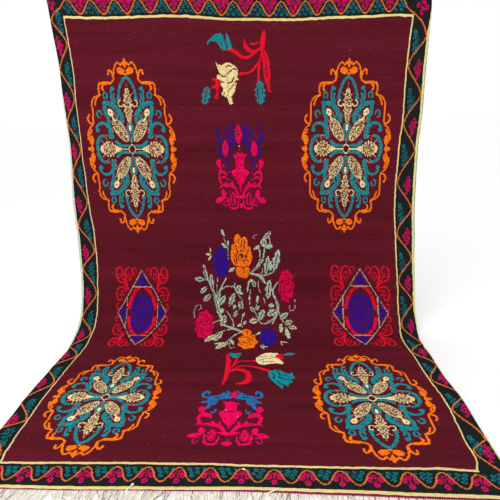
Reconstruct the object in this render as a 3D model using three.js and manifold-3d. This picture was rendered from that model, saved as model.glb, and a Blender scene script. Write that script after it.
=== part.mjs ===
// A flatwoven rug, 1.8 m by 3 m, held along its upper edge, leaning back as it hangs and sweeping
// forward over the floor, with a band of loose warp ends along its lower edge.
// Millimetres, +Z up, +X to the right as the rug is faced, -Y towards the viewer.
// The origin is the middle of the upper edge.

import * as THREE from 'three';
import { mergeVertices } from 'three/addons/utils/BufferGeometryUtils.js';
import Module from 'manifold-3d';

// The cloth, as it lies flat
const WIDTH = 1800;
const CLOTH_LENGTH = 2990;
const THICKNESS = 3;

// The drape, along the cloth from its upper edge
const LEAN_AT_TOP = THREE.MathUtils.degToRad(-16);
const LEAN_AT_FOLD = THREE.MathUtils.degToRad(8);
const FALL = 1485;
const BEND = 413;
const SKEW_AT_TOP = 0.022;
const SKEW_GROWTH = 0.013;

// How far the upper edge drops between the places that hold it, by the place across
const TOP_DROP = [
  { across: -900, drop: -4 },
  { across: -650, drop: 1 },
  { across: -320, drop: -8 },
  { across: 0, drop: 9 },
  { across: 230, drop: 11 },
  { across: 520, drop: 0 },
  { across: 740, drop: -10 },
  { across: 900, drop: -4 },
];
const DROP_FADE = 450;

// How far each side edge strays from a straight line, + to the right
const EDGE_SWAY = [
  { along: 0, left: 3, right: -8 },
  { along: 150, left: 4, right: 2 },
  { along: 350, left: 9, right: 2 },
  { along: 560, left: 0, right: 5 },
  { along: 750, left: 3, right: -3 },
  { along: 1050, left: -8, right: -5 },
  { along: 1280, left: 1, right: 1 },
  { along: 1500, left: 6, right: 8 },
  { along: 1640, left: 1, right: 8 },
  { along: 1800, left: -6, right: -8 },
  { along: 1980, left: 6, right: 1 },
  { along: 2200, left: 0, right: -4 },
  { along: 2420, left: -4, right: 7 },
  { along: 2650, left: 2, right: 0 },
  { along: 3000, left: 0, right: -4 },
];

// How much further forward the lower edge lies than a straight one, by the place across
const FOOT_REACH = [
  { across: -900, reach: 19 },
  { across: -560, reach: 18 },
  { across: -250, reach: 10 },
  { across: 60, reach: 4 },
  { across: 350, reach: 10 },
  { across: 660, reach: 18 },
  { across: 900, reach: 20 },
];
const FOOT_START = 2500;

// Soft waves in the hanging cloth, full from WAVE_FULL and fading out from WAVE_FADE to the bend
const WAVE_DEPTH = 4;
const WAVE_ACROSS = 640;
const WAVE_ALONG = 900;
const WAVE_FULL = 500;
const WAVE_FADE = 1200;

// The side edges turn down to the floor over a low ridge, from the bend to near the lower edge
const RIDGE_HEIGHT = 11;
const RIDGE_CREST = 15;
const RIDGE_WIDTH = 90;
const RIDGE_PULL = 6;
const RIDGE_START = 1800;
const RIDGE_FULL = 2050;
const RIDGE_FADE = 2850;
const RIDGE_END = 2970;

// The mesh of the cloth and of its end band: columns from the middle to a side, and rows by stretch
const COLUMN_STATIONS = [0, 110, 220, 330, 440, 550, 660, 750, 815, 850, 872, 885, 893, 900];
const COLUMNS = [...COLUMN_STATIONS.slice(1).reverse().map((u) => -u), ...COLUMN_STATIONS];
const ROW_STRETCHES = [
  { end: 1440, rows: 20 },
  { end: 1940, rows: 20 },
  { end: RIDGE_FADE, rows: 11 },
  { end: CLOTH_LENGTH, rows: 4 },
];

// The end band and its strands
const BAND_GAP = 0.3;
const BAND_START = CLOTH_LENGTH + BAND_GAP;
const BAND_END = 3000;
const STRAND_COUNT = 236;
const STRAND_WIDTH = 4.4;
const STRAND_HEIGHT = 3;
const STRAND_ROOT = 4;
const STRAND_STEPS = 2;
const STRAND_REACH = 62;
const STRAND_SPREAD = 12;
const STRAND_DRIFT = 9;
const STRAND_TUFTS = 5;
const STRAND_TURN = 2.4;
const STRAND_CURL = 1.2;
const STRAND_TAPER = 0.35;
const TRIANGLE_BASE = -0.5;
const TRIANGLE_HALF_BASE = Math.sin(Math.PI / 3);

const FIELD_COLOUR = 0x571a2b;
const FRINGE_COLOUR = 0xece2d4;

const WELD_DISTANCE = 1e-4;
const PROBE = 0.5;
const SECTION_STEP = 1;
const SECTION_BEFORE = 60;
const SECTION_END = 3200;

const smooth = (from, to, value) => THREE.MathUtils.smoothstep(value, from, to);

function tableValue(rows, key, column, at) {
  const last = rows.length - 1;
  if (at <= rows[0][key]) return rows[0][column];
  if (at >= rows[last][key]) return rows[last][column];
  const upper = rows.findIndex((row) => row[key] >= at);
  const [a, b] = [rows[upper - 1], rows[upper]];
  return THREE.MathUtils.lerp(a[column], b[column], smooth(a[key], b[key], at));
}

// The angle of the cloth from a plumb line: it leans back at the top, comes forward, then lies flat
function leanAt(s) {
  const share = THREE.MathUtils.clamp(s / FALL, 0, 1);
  const hanging = THREE.MathUtils.lerp(LEAN_AT_TOP, LEAN_AT_FOLD, share);
  return hanging + (Math.PI / 2 - LEAN_AT_FOLD) * smooth(FALL, FALL + BEND, s);
}

// The middle section of the drape, summed up step by step along the cloth
function makeSection() {
  const y = [0];
  const z = [0];
  for (let s = -SECTION_BEFORE; s < SECTION_END; s += SECTION_STEP) {
    const lean = leanAt(s + SECTION_STEP / 2);
    y.push(y.at(-1) - Math.sin(lean) * SECTION_STEP);
    z.push(z.at(-1) - Math.cos(lean) * SECTION_STEP);
  }
  return { y, z };
}

const section = makeSection();

function sectionAt(s, axis) {
  const place = (s + SECTION_BEFORE) / SECTION_STEP;
  const index = Math.floor(place);
  return THREE.MathUtils.lerp(section[axis][index], section[axis][index + 1], place - index);
}

// Height and inward pull of the ridge, by the distance from the side edge
function ridgeAt(fromEdge, v) {
  const strength = smooth(RIDGE_START, RIDGE_FULL, v) * (1 - smooth(RIDGE_FADE, RIDGE_END, v));
  const outside = 1 - smooth(0, RIDGE_CREST, fromEdge);
  const rise = fromEdge < RIDGE_CREST ? 1 - outside : 1 - smooth(RIDGE_CREST, RIDGE_WIDTH, fromEdge);
  return { height: RIDGE_HEIGHT * rise * strength, pull: RIDGE_PULL * outside * strength };
}

// The face of the cloth at u across and v along, before the origin is set
function rawFace(u, v) {
  const skew = (SKEW_AT_TOP + (SKEW_GROWTH * v) / CLOTH_LENGTH) * u;
  const forward = tableValue(FOOT_REACH, 'across', 'reach', u) * smooth(FOOT_START, CLOTH_LENGTH, v);
  const s = v + skew + forward;
  const side = u / (WIDTH / 2);
  const sway = tableValue(EDGE_SWAY, 'along', side < 0 ? 'left' : 'right', v) * side * side;
  const drop = tableValue(TOP_DROP, 'across', 'drop', u) * Math.exp(-((v / DROP_FADE) ** 2));
  const hanging = smooth(0, WAVE_FULL, v) * (1 - smooth(WAVE_FADE, FALL, v));
  const wave = Math.sin((2 * Math.PI * u) / WAVE_ACROSS + (2 * Math.PI * v) / WAVE_ALONG);
  const ridge = ridgeAt(WIDTH / 2 - Math.abs(u), v);
  return new THREE.Vector3(
    u + sway - Math.sign(u) * ridge.pull,
    sectionAt(s, 'y') + WAVE_DEPTH * wave * hanging,
    sectionAt(s, 'z') - drop + ridge.height,
  );
}

const upperMiddle = rawFace(0, 0);

function faceAt(u, v) {
  return rawFace(u, v).sub(upperMiddle);
}

// A point at a depth under the face, square to the cloth
function clothPoint(u, v, depth) {
  const across = faceAt(u + PROBE, v).sub(faceAt(u - PROBE, v));
  const upwards = faceAt(u, v - PROBE).sub(faceAt(u, v + PROBE));
  const outwards = across.cross(upwards).normalize();
  return faceAt(u, v).addScaledVector(outwards, -depth);
}

const floorHeight = faceAt(0, CLOTH_LENGTH).z - THICKNESS;

// Moves each point of a box of unit cells to the place that a function of its three counts gives
function mapBox(columns, rows, place) {
  const geometry = new THREE.BoxGeometry(columns, rows, 1, columns, rows, 1);
  const points = geometry.attributes.position;
  for (let i = 0; i < points.count; i += 1) {
    const column = Math.round(points.getX(i) + columns / 2);
    const row = Math.round(rows / 2 - points.getY(i));
    const target = place(column, row, points.getZ(i) > 0);
    points.setXYZ(i, target.x, target.y, target.z);
  }
  return weld(geometry);
}

function weld(geometry) {
  geometry.deleteAttribute('normal');
  geometry.deleteAttribute('uv');
  return mergeVertices(geometry, WELD_DISTANCE);
}

function rowStations() {
  const stations = [0];
  for (const { end, rows } of ROW_STRETCHES) {
    const start = stations.at(-1);
    for (let i = 1; i <= rows; i += 1) stations.push(start + ((end - start) * i) / rows);
  }
  return stations;
}

function makeCloth() {
  const rows = rowStations();
  return mapBox(COLUMNS.length - 1, rows.length - 1, (column, row, isFace) =>
    clothPoint(COLUMNS[column], rows[row], isFace ? 0 : THICKNESS));
}

// The end band lies flat on the floor, just past the lower edge of the cloth
function makeBand() {
  const edges = [BAND_START, BAND_END];
  return mapBox(COLUMNS.length - 1, 1, (column, row, isFace) =>
    clothPoint(COLUMNS[column], edges[row], isFace ? 0 : THICKNESS));
}

// One strand: a three-sided lock that lies level on the floor and drifts sideways as it runs out
function makeStrand(index) {
  const share = (index + 0.5) / STRAND_COUNT;
  const u = (share - 0.5) * (WIDTH - STRAND_WIDTH);
  const reach = STRAND_REACH + STRAND_SPREAD * Math.sin(index * STRAND_TURN);
  const lean = STRAND_DRIFT * Math.sin(2 * Math.PI * STRAND_TUFTS * share);
  const root = faceAt(u, BAND_END);
  const geometry = new THREE.CylinderGeometry(1, 1, 1, 3, STRAND_STEPS);
  const points = geometry.attributes.position;
  for (let i = 0; i < points.count; i += 1) {
    const out = 0.5 - points.getY(i);
    const side = (points.getX(i) / TRIANGLE_HALF_BASE) * (STRAND_WIDTH / 2) * (1 - STRAND_TAPER * out);
    const height = ((points.getZ(i) - TRIANGLE_BASE) / (1 - TRIANGLE_BASE)) * STRAND_HEIGHT;
    const drift = out * (lean * out ** 2 + STRAND_CURL * Math.sin(2 * Math.PI * out + index));
    const forward = (STRAND_ROOT + reach) * out - STRAND_ROOT;
    points.setXYZ(i, root.x + side + drift, root.y - forward, floorHeight + height);
  }
  return weld(geometry);
}

const wasm = await Module();
wasm.setup();

function toManifold(geometry) {
  return new wasm.Manifold(new wasm.Mesh({
    numProp: 3,
    vertProperties: Float32Array.from(geometry.attributes.position.array),
    triVerts: Uint32Array.from(geometry.index.array),
  }));
}

function toGeometry(solid) {
  const mesh = solid.getMesh();
  const geometry = new THREE.BufferGeometry();
  geometry.setAttribute('position', new THREE.BufferAttribute(mesh.vertProperties, 3));
  geometry.setIndex(new THREE.BufferAttribute(mesh.triVerts, 1));
  return geometry;
}

function makeFringe() {
  let solid = toManifold(makeBand());
  for (let index = 0; index < STRAND_COUNT; index += 1) {
    solid = solid.add(toManifold(makeStrand(index)));
  }
  return toGeometry(solid);
}

function piece(name, geometry, colour) {
  const material = new THREE.MeshStandardMaterial({ color: colour, roughness: 0.95, metalness: 0 });
  const mesh = new THREE.Mesh(geometry, material);
  mesh.name = name;
  return mesh;
}

const group = new THREE.Group();
group.add(piece('rug_cloth', makeCloth(), FIELD_COLOUR));
group.add(piece('end_fringe', makeFringe(), FRINGE_COLOUR));

export default group;
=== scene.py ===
"""A flatwoven rug, held along its upper edge and swept forward over the floor: a maroon field with
brocaded medallions, flowers and vases, a black border with a vine, and a band of loose warp ends.
Sizes are in mm on the cloth as it lies flat, where u runs across from its middle and v runs along
from its upper edge. Objects are in metres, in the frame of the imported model."""

import math

import bpy
import numpy as np
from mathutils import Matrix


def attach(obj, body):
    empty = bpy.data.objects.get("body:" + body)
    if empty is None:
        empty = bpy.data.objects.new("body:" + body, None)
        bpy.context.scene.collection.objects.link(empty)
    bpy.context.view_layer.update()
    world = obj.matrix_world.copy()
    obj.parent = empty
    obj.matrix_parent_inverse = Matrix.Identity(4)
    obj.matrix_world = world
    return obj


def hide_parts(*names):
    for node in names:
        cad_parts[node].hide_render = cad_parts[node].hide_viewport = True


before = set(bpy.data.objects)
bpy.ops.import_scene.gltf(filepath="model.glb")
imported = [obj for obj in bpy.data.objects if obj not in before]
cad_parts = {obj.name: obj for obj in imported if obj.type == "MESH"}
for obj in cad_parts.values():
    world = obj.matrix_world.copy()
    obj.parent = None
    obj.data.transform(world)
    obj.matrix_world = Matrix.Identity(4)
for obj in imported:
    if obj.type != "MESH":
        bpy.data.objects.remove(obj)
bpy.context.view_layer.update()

MM = 0.001

# The cloth and its drape, the same as in the solids
WIDTH = 1800
HALF_WIDTH = WIDTH / 2
CLOTH_LENGTH = 2990
RUG_LENGTH = 3000
THICKNESS = 3
LEAN_AT_TOP = math.radians(-16)
LEAN_AT_FOLD = math.radians(8)
FALL = 1485
BEND = 413
SKEW_AT_TOP = 0.022
SKEW_GROWTH = 0.013
SECTION_BEFORE = 60
SECTION_END = 3200
PROBE = 0.5

# How far the upper edge drops, by the place across
TOP_ACROSS = np.array([-900, -650, -320, 0, 230, 520, 740, 900])
TOP_DROP = np.array([-4, 1, -8, 9, 11, 0, -10, -4])
DROP_FADE = 450

# How far the left and the right edge stray, + to the right: each row is the place along, left, right
SWAY_ALONG, SWAY_LEFT, SWAY_RIGHT = np.array([
    (0, 3, -8),
    (150, 4, 2),
    (350, 9, 2),
    (560, 0, 5),
    (750, 3, -3),
    (1050, -8, -5),
    (1280, 1, 1),
    (1500, 6, 8),
    (1640, 1, 8),
    (1800, -6, -8),
    (1980, 6, 1),
    (2200, 0, -4),
    (2420, -4, 7),
    (2650, 2, 0),
    (3000, 0, -4),
]).T

# How much further forward the lower edge lies than a straight one, by the place across
FOOT_ACROSS = np.array([-900, -560, -250, 60, 350, 660, 900])
FOOT_REACH = np.array([19, 18, 10, 4, 10, 18, 20])
FOOT_START = 2500

# Soft waves in the hanging cloth
WAVE_DEPTH = 4
WAVE_ACROSS = 640
WAVE_ALONG = 900
WAVE_FULL = 500
WAVE_FADE = 1200

# The ridge over which each side edge turns down to the floor
RIDGE_HEIGHT = 11
RIDGE_CREST = 15
RIDGE_WIDTH = 90
RIDGE_PULL = 6
RIDGE_START = 1800
RIDGE_FULL = 2050
RIDGE_FADE = 2850
RIDGE_END = 2970

# The mesh of the cloth: close columns over the ridge and the selvedge, even ones between
EDGE_COLUMNS = [0, 0.4, 1.5, 3, 6, 10, 15, 22, 32, 45, 60, 75]
MIDDLE_COLUMNS = 82
SHEET_ROWS = 250
SELVEDGE_ROUND = 3

# How near the face and the back come at a side edge, as a share of the way
SELVEDGE_CLOSING = 0.9

# The chart of the brocade: one cell is one stitch of extra weft
ACROSS = 4
ALONG = 3.6
CHART_COLUMNS = round(WIDTH / ACROSS)
CHART_ROWS = round(CLOTH_LENGTH / ALONG)
LONGEST_FLOAT = 10
STITCH_HEIGHT = 0.9
STITCH_ROOT = 0.6
STITCH_SHOULDER = 0.26
STITCH_FOOT = 0.12
FLOAT_SHADE_SPREAD = 0.09
FLOAT_SHADE_LIMIT = 2
TOOTH_DEPTH = 0.16
VEIN_START = 0.12
VEIN_END = 0.82

# The stripes of the border from the edge inwards: the end of each in mm, at the sides and at the ends
LEFT_STRIPES = [("selvedge", 2.5), ("worn_cream", 14), ("black", 90.5), ("beige", 96.5)]
RIGHT_STRIPES = [("selvedge", 4.5), ("edge_cream", 14), ("black", 90), ("cream", 97)]
END_STRIPES = [("plum", 5), ("cream", 20), ("black", 129.5), ("cream", 141)]
STRIPE_COLOURS = {
    "selvedge": "#6b8f80",
    "worn_cream": "#c9c6b0",
    "edge_cream": "#d8cc86",
    "beige": "#d8bf90",
    "black": "#1d1f21",
    "cream": "#dccb86",
    "plum": "#86194d",
}
RAMP_ROOM = 1.25
SIDE_BORDER = 93.5
END_BORDER = 135.5

# The border along the sides. Each row is the place along, then for the left and for the right: how far
# the middle of the inner stripe is from the edge that shows, and how much of the outer stripe is rolled
# under there, less than nothing where it is pulled outwards
BORDER_ALONG, LEFT_BORDER, LEFT_HIDDEN, RIGHT_BORDER, RIGHT_HIDDEN = np.array([
    (70, 68, 14, 85, 14),
    (140, 68, 14, 85, 9),
    (250, 68, 14, 90, 1),
    (400, 67, 14, 95, 1),
    (600, 65, 5, 95, 1),
    (795, 65, 3, 100, 1),
    (945, 77, 2, 105, 1),
    (1090, 85, 2, 105, 1),
    (1220, 92, 2, 100, 1),
    (1385, 95, 2, 94, 2),
    (1500, 90, 2, 90, 3),
    (1620, 90, 3, 90, 5),
    (1765, 90, 4, 90, 13),
    (1850, 87, 7, 90, 14),
    (1930, 84, 14, 90, -2),
    (2065, 80, 14, 85, -2),
    (2230, 80, 12, 80, 13),
    (2490, 80, 8, 78, 14),
    (2600, 82, 8, 82, 4),
    (2700, 84, 14, 90, -5),
    (2785, 90, 14, 87, -6),
    (2865, 100, 14, 105, -6),
]).T

# The border at the lower end. Each row is the place across, how far the middle of the inner stripe is
# from the edge, and how far in the first stripe begins
BORDER_ACROSS, FOOT_BORDER, FOOT_RISE = np.array([
    (-900, 128, -4),
    (-700, 129, -4),
    (-560, 133, -5),
    (-400, 134, -6),
    (-250, 133, -5),
    (-100, 133, -3),
    (60, 127, 0),
    (350, 131, 2),
    (500, 135, 2),
    (600, 139, 2),
    (675, 143, 1),
    (760, 137, 1),
    (900, 136, -1),
]).T

YARNS = {
    "orange": "#ff7d12",
    "vine_orange": "#dd7430",
    "teal": "#128f97",
    "leaf_teal": "#18757c",
    "cream": "#eedb9c",
    "pale_cream": "#f4e4ac",
    "brown": "#7a4744",
    "pink_brown": "#b08072",
    "magenta": "#f2075f",
    "border_magenta": "#c9125c",
    "rose": "#e3074f",
    "red": "#e8152f",
    "purple": "#31168c",
    "mint": "#b0d0b6",
    "pale_mint": "#c9d2a6",
    "blue": "#1478bd",
    "pale": "#c9a9a2",
    "sage": "#8fa98a",
    "black": "#1d1f21",
    "maroon": "#5a1a28",
}
YARN_NUMBER = {name: number for number, name in enumerate(YARNS, start=1)}
BARE = 0

# Two yarns mixed at random, cell by cell, with the share of the second
SPECKLED = ("cream", "brown", 0.62)
ROSY = ("pink_brown", "bare", 0.3)
FLECKED_MAGENTA = ("magenta", "bare", 0.1)
FLECKED_BORDER = ("border_magenta", "bare", 0.24)
FLECKED_LEAF = ("leaf_teal", "bare", 0.14)
FLECKED_PURPLE = ("purple", "maroon", 0.06)
THIN_PURPLE = ("purple", "bare", 0.28)
FLECKED_TEAL = ("teal", "bare", 0.14)
FLECKED_BLUE = ("blue", "bare", 0.16)
FLECKED_RED = ("red", "bare", 0.07)
SPOTTED_PURPLE = ("purple", "maroon", 0.3)
BROKEN_PALE = ("pale", "maroon", 0.3)
DASHED = ("bare", "cream", 0.2)
THIN_MINT = ("mint", "bare", 0.28)
FLECKED_MINT = ("mint", "bare", 0.08)
FLECKED_PALE_MINT = ("pale_mint", "bare", 0.12)
FLECKED_ORANGE = ("orange", "bare", 0.03)

# The vine of the border at the sides: the places of its bends, an inner and an outer one by turns, and
# its distance from the edge on the way outwards and inwards
LEFT_BENDS = np.array([30, 130, 250, 375, 515, 635, 770, 890, 1045, 1175, 1310, 1410, 1545, 1675, 1780, 1910,
                       2020, 2185, 2305, 2485, 2605, 2700, 2830])
RIGHT_BENDS = np.array([88, 225, 355, 490, 630, 760, 925, 1065, 1195, 1325, 1450, 1560, 1685, 1840, 1950,
                        2110, 2235, 2400, 2490, 2695, 2755, 2900])
VINE_SHARE = np.array([0, 0.15, 0.35, 0.56, 0.78])
VINE_OUTWARDS = np.array([85, 80, 64, 44, 26])
VINE_INWARDS = np.array([17, 25, 43, 63, 79])

# The places along the sides between which the vine is drawn, where its leaves and its blossoms begin, and
# where both end
LEFT_START = 245
RIGHT_START = 160
SIDE_END = 2885
FIRST_SHEAF = 100
FIRST_SPRAY = 180
LAST_CLUSTER = 2814

# How far a sheaf of leaves or a spray of blossoms lies under its bend, and the vine's width
SHEAF_DROP = 24
SPRAY_DROP = 18
VINE_WIDTH = 6
FOOT_VINE_WIDTH = 5

# The vine at the upper and the lower end: its repeat, its first crest and the reach of its waves
TOP_REPEAT = 111.8
TOP_FIRST = -805
TOP_WAVES = 14
TOP_OUTER = 58
TOP_INNER = 120
TOP_MARGIN = 20
FOOT_REPEAT = 105.4
FOOT_GROWTH = 0.36
FOOT_MIDDLE = 30
FOOT_WAVES = (-8.5, 7.5)
FOOT_INNER = 2874
FOOT_OUTER = 2945
FOOT_FLATNESS = 0.8

# The end band and the warp ends that come out of it
BAND_START = 2990.3
BAND_COLUMNS = 300
YARN_COUNT = 708
YARN_RADIUS = 1.35
YARN_SIDES = 6
YARN_STEPS = 13
YARN_ROOT = 1.5
YARN_ROOT_SPREAD = 3
YARN_REACH = 66
YARN_SPREAD = 11
TUFT_COUNT = 60
TUFT_PULL = 0.34
TUFT_LEAN = 26
TUFT_SWEEP = 12
TUFT_SWEEPS = 5
YARN_STRAY = 6
YARN_CURL = (1.0, 5.5)
YARN_TURNS = (0.7, 2.2)
YARN_LIFT = 3.2
YARN_ROOT_DEPTH = 0.2
YARN_DROP_END = 0.22
YARN_TIP_START = 0.75
YARN_TIP_THINNING = 0.45

random = np.random.default_rng(7)


def smooth(start, end, value):
    """Smoothstep: 0 up to start, 1 from end, and 3 t squared less 2 t cubed between."""
    t = np.clip((value - start) / (end - start), 0, 1)
    return t * t * (3 - 2 * t)


def from_table(stations, values, at):
    """A table's value at a place: a smoothstep from each row to the next, level past both ends."""
    at = np.clip(at, stations[0], stations[-1])
    upper = np.clip(np.searchsorted(stations, at), 1, len(stations) - 1)
    share = smooth(stations[upper - 1], stations[upper], at)
    return values[upper - 1] + (values[upper] - values[upper - 1]) * share


def lean_at(s):
    """Angle from a plumb line: it grows evenly down the fall, then by a smoothstep to the flat cloth."""
    hanging = LEAN_AT_TOP + (LEAN_AT_FOLD - LEAN_AT_TOP) * np.clip(s / FALL, 0, 1)
    return hanging + (math.pi / 2 - LEAN_AT_FOLD) * smooth(FALL, FALL + BEND, s)


# The middle section of the drape, summed up in steps of 1 mm
SECTION_PLACES = np.arange(-SECTION_BEFORE, SECTION_END + 1, dtype=float)
SECTION_LEANS = lean_at(SECTION_PLACES[:-1] + 0.5)
SECTION_Y = np.concatenate([[0], -np.cumsum(np.sin(SECTION_LEANS))])
SECTION_Z = np.concatenate([[0], -np.cumsum(np.cos(SECTION_LEANS))])


def raw_face(u, v):
    """Points of the face: the section, skewed across, with swaying edges, a dropped top, soft waves,
    and a ridge along each side edge."""
    forward = from_table(FOOT_ACROSS, FOOT_REACH, u) * smooth(FOOT_START, CLOTH_LENGTH, v)
    s = v + (SKEW_AT_TOP + SKEW_GROWTH * v / CLOTH_LENGTH) * u + forward
    side = u / HALF_WIDTH
    sway_left = from_table(SWAY_ALONG, SWAY_LEFT, v)
    sway_right = from_table(SWAY_ALONG, SWAY_RIGHT, v)
    sway = np.where(side < 0, sway_left, sway_right) * side**2
    drop = from_table(TOP_ACROSS, TOP_DROP, u) * np.exp(-((v / DROP_FADE) ** 2))
    hanging = smooth(0, WAVE_FULL, v) * (1 - smooth(WAVE_FADE, FALL, v))
    wave = np.sin(2 * math.pi * (u / WAVE_ACROSS + v / WAVE_ALONG))
    strength = smooth(RIDGE_START, RIDGE_FULL, v) * (1 - smooth(RIDGE_FADE, RIDGE_END, v))
    from_edge = HALF_WIDTH - np.abs(u)
    inside = smooth(0, RIDGE_CREST, from_edge)
    rise = np.where(from_edge < RIDGE_CREST, inside, 1 - smooth(RIDGE_CREST, RIDGE_WIDTH, from_edge))
    x = u + sway - np.sign(u) * RIDGE_PULL * (1 - inside) * strength
    y = np.interp(s, SECTION_PLACES, SECTION_Y) + WAVE_DEPTH * wave * hanging
    z = np.interp(s, SECTION_PLACES, SECTION_Z) - drop + RIDGE_HEIGHT * rise * strength
    return np.stack([x, y, z], -1)


UPPER_MIDDLE = raw_face(np.zeros(1), np.zeros(1))


def cloth_point(u, v, depth):
    """Points at a depth under the face, square to the cloth: the face less its normal times the depth."""
    u, v, depth = np.broadcast_arrays(np.asarray(u, float), np.asarray(v, float), np.asarray(depth, float))
    across = raw_face(u + PROBE, v) - raw_face(u - PROBE, v)
    upwards = raw_face(u, v - PROBE) - raw_face(u, v + PROBE)
    normal = np.cross(across, upwards)
    normal /= np.linalg.norm(normal, axis=-1, keepdims=True)
    return raw_face(u, v) - UPPER_MIDDLE - normal * depth[..., None]


FLOOR = cloth_point(0, CLOTH_LENGTH, THICKNESS)[..., 2].item()


def linear_colour(code):
    """A colour that a shader takes, from its sRGB hex code."""
    parts = np.array([int(code[i : i + 2], 16) for i in (1, 3, 5)]) / 255
    linear = np.where(parts <= 0.04045, parts / 12.92, ((parts + 0.055) / 1.055) ** 2.4)
    return (*linear.tolist(), 1.0)


def add_node(tree, kind, inputs=(), **settings):
    """Adds a node with its settings. Each input is a value, or a socket to link."""
    node = tree.nodes.new(kind)
    for name, value in settings.items():
        setattr(node, name, value)
    for key, value in dict(inputs).items():
        if isinstance(value, bpy.types.NodeSocket):
            tree.links.new(value, node.inputs[key])
        else:
            node.inputs[key].default_value = value
    return node


# The numbers of the colour sockets on a Mix node
MIX_FACTOR = 0
MIX_A = 6
MIX_B = 7
MIX_RESULT = 2


def set_ramp(node, stops, interpolation="LINEAR"):
    """Gives a Color Ramp its stops, each a place from 0 to 1 and a hex colour."""
    ramp = node.color_ramp
    ramp.interpolation = interpolation
    while len(ramp.elements) < len(stops):
        ramp.elements.new(1.0)
    for element, (place, code) in zip(ramp.elements, stops):
        element.position = place
        element.color = linear_colour(code)


def new_wool(name):
    """A material for wool: matt all over, with hardly any gloss."""
    material = bpy.data.materials.new(name)
    material.use_nodes = True
    shader = material.node_tree.nodes["Principled BSDF"]
    shader.inputs["Roughness"].default_value = 1.0
    shader.inputs["Specular IOR Level"].default_value = 0.03
    return material, material.node_tree, shader


def stripe_colours(tree, distance, stripes):
    """The stripe that a distance from the edge, in metres, falls in, as a colour with sharp changes."""
    ends = [end for _, end in stripes]
    reach = RAMP_ROOM * ends[-1]
    stops = [(start / reach, STRIPE_COLOURS[name]) for start, (name, _) in zip([0, *ends], stripes)]
    share = add_node(tree, "ShaderNodeMath", {0: distance, 1: 1 / (reach * MM)}, operation="MULTIPLY")
    ramp = add_node(tree, "ShaderNodeValToRGB", {0: share.outputs[0]})
    set_ramp(ramp, stops, "CONSTANT")
    return ramp.outputs[0]


def field_colour(tree, place):
    """Maroon dyed in lots that band the field, with lint and ends of other yarns caught here and there."""
    # Dye lots change every few centimetres along the rug and hardly across it
    lots_place = add_node(tree, "ShaderNodeMapping", {0: place, "Scale": (0.5, 11, 1)})
    lots = add_node(tree, "ShaderNodeTexNoise", {"Vector": lots_place.outputs[0], "Scale": 1.0,
                                                 "Detail": 5.0, "Roughness": 0.62})
    field = add_node(tree, "ShaderNodeValToRGB", {0: lots.outputs[0]})
    set_ramp(field, [(0.28, "#4b131e"), (0.5, "#571621"), (0.72, "#631827")])
    lint_noise = add_node(tree, "ShaderNodeTexNoise", {"Vector": place, "Scale": 95.0, "Detail": 1.0})
    lint = add_node(tree, "ShaderNodeMapRange", {0: lint_noise.outputs[0], 1: 0.74, 2: 0.8, 3: 0.0, 4: 0.4})
    linted = add_node(tree, "ShaderNodeMix", {MIX_FACTOR: lint.outputs[0], MIX_A: field.outputs[0],
                                              MIX_B: linear_colour("#b08878")}, data_type="RGBA")
    return linted.outputs[MIX_RESULT]


def border_colour(tree, place):
    """The colour of the border's stripes, and whether a place is in the border. The nearer of the side
    and the end counts, each by its distance as a share of the border's width."""
    # The edge of each stripe wanders by a few millimetres, as wefts are beaten in by hand
    wander = add_node(tree, "ShaderNodeTexNoise", {"Vector": place, "Scale": 34.0, "Detail": 3.0})
    stray = add_node(tree, "ShaderNodeMath", {0: wander.outputs[0], 1: 0.009, 2: -0.0045},
                     operation="MULTIPLY_ADD")
    border = add_node(tree, "ShaderNodeAttribute", attribute_name="border_place").outputs["Vector"]
    strayed = add_node(tree, "ShaderNodeVectorMath", {0: border, 1: stray.outputs[0]}, operation="ADD")
    from_edges = add_node(tree, "ShaderNodeSeparateXYZ", {0: strayed.outputs[0]})
    from_side, from_end = from_edges.outputs[0], from_edges.outputs[1]
    left_colour = stripe_colours(tree, from_side, LEFT_STRIPES)
    right_colour = stripe_colours(tree, from_side, RIGHT_STRIPES)
    end_colour = stripe_colours(tree, from_end, END_STRIPES)
    axes = add_node(tree, "ShaderNodeSeparateXYZ", {0: place})
    is_right = add_node(tree, "ShaderNodeMath", {0: axes.outputs[0], 1: 0.0}, operation="GREATER_THAN")
    side_colour = add_node(tree, "ShaderNodeMix", {MIX_FACTOR: is_right.outputs[0], MIX_A: left_colour,
                                                   MIX_B: right_colour}, data_type="RGBA")
    side_share, end_share = [
        add_node(tree, "ShaderNodeMath", {0: distance, 1: 1 / (stripes[-1][1] * MM)},
                 operation="MULTIPLY").outputs[0]
        for distance, stripes in ((from_side, LEFT_STRIPES), (from_end, END_STRIPES))]
    nearer = add_node(tree, "ShaderNodeMath", {0: side_share, 1: end_share}, operation="LESS_THAN")
    stripe = add_node(tree, "ShaderNodeMix", {MIX_FACTOR: nearer.outputs[0], MIX_A: end_colour,
                                              MIX_B: side_colour.outputs[MIX_RESULT]}, data_type="RGBA")
    least = add_node(tree, "ShaderNodeMath", {0: side_share, 1: end_share}, operation="MINIMUM")
    in_border = add_node(tree, "ShaderNodeMath", {0: least.outputs[0], 1: 1.0}, operation="LESS_THAN")
    return stripe.outputs[MIX_RESULT], in_border.outputs[0]


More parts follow.
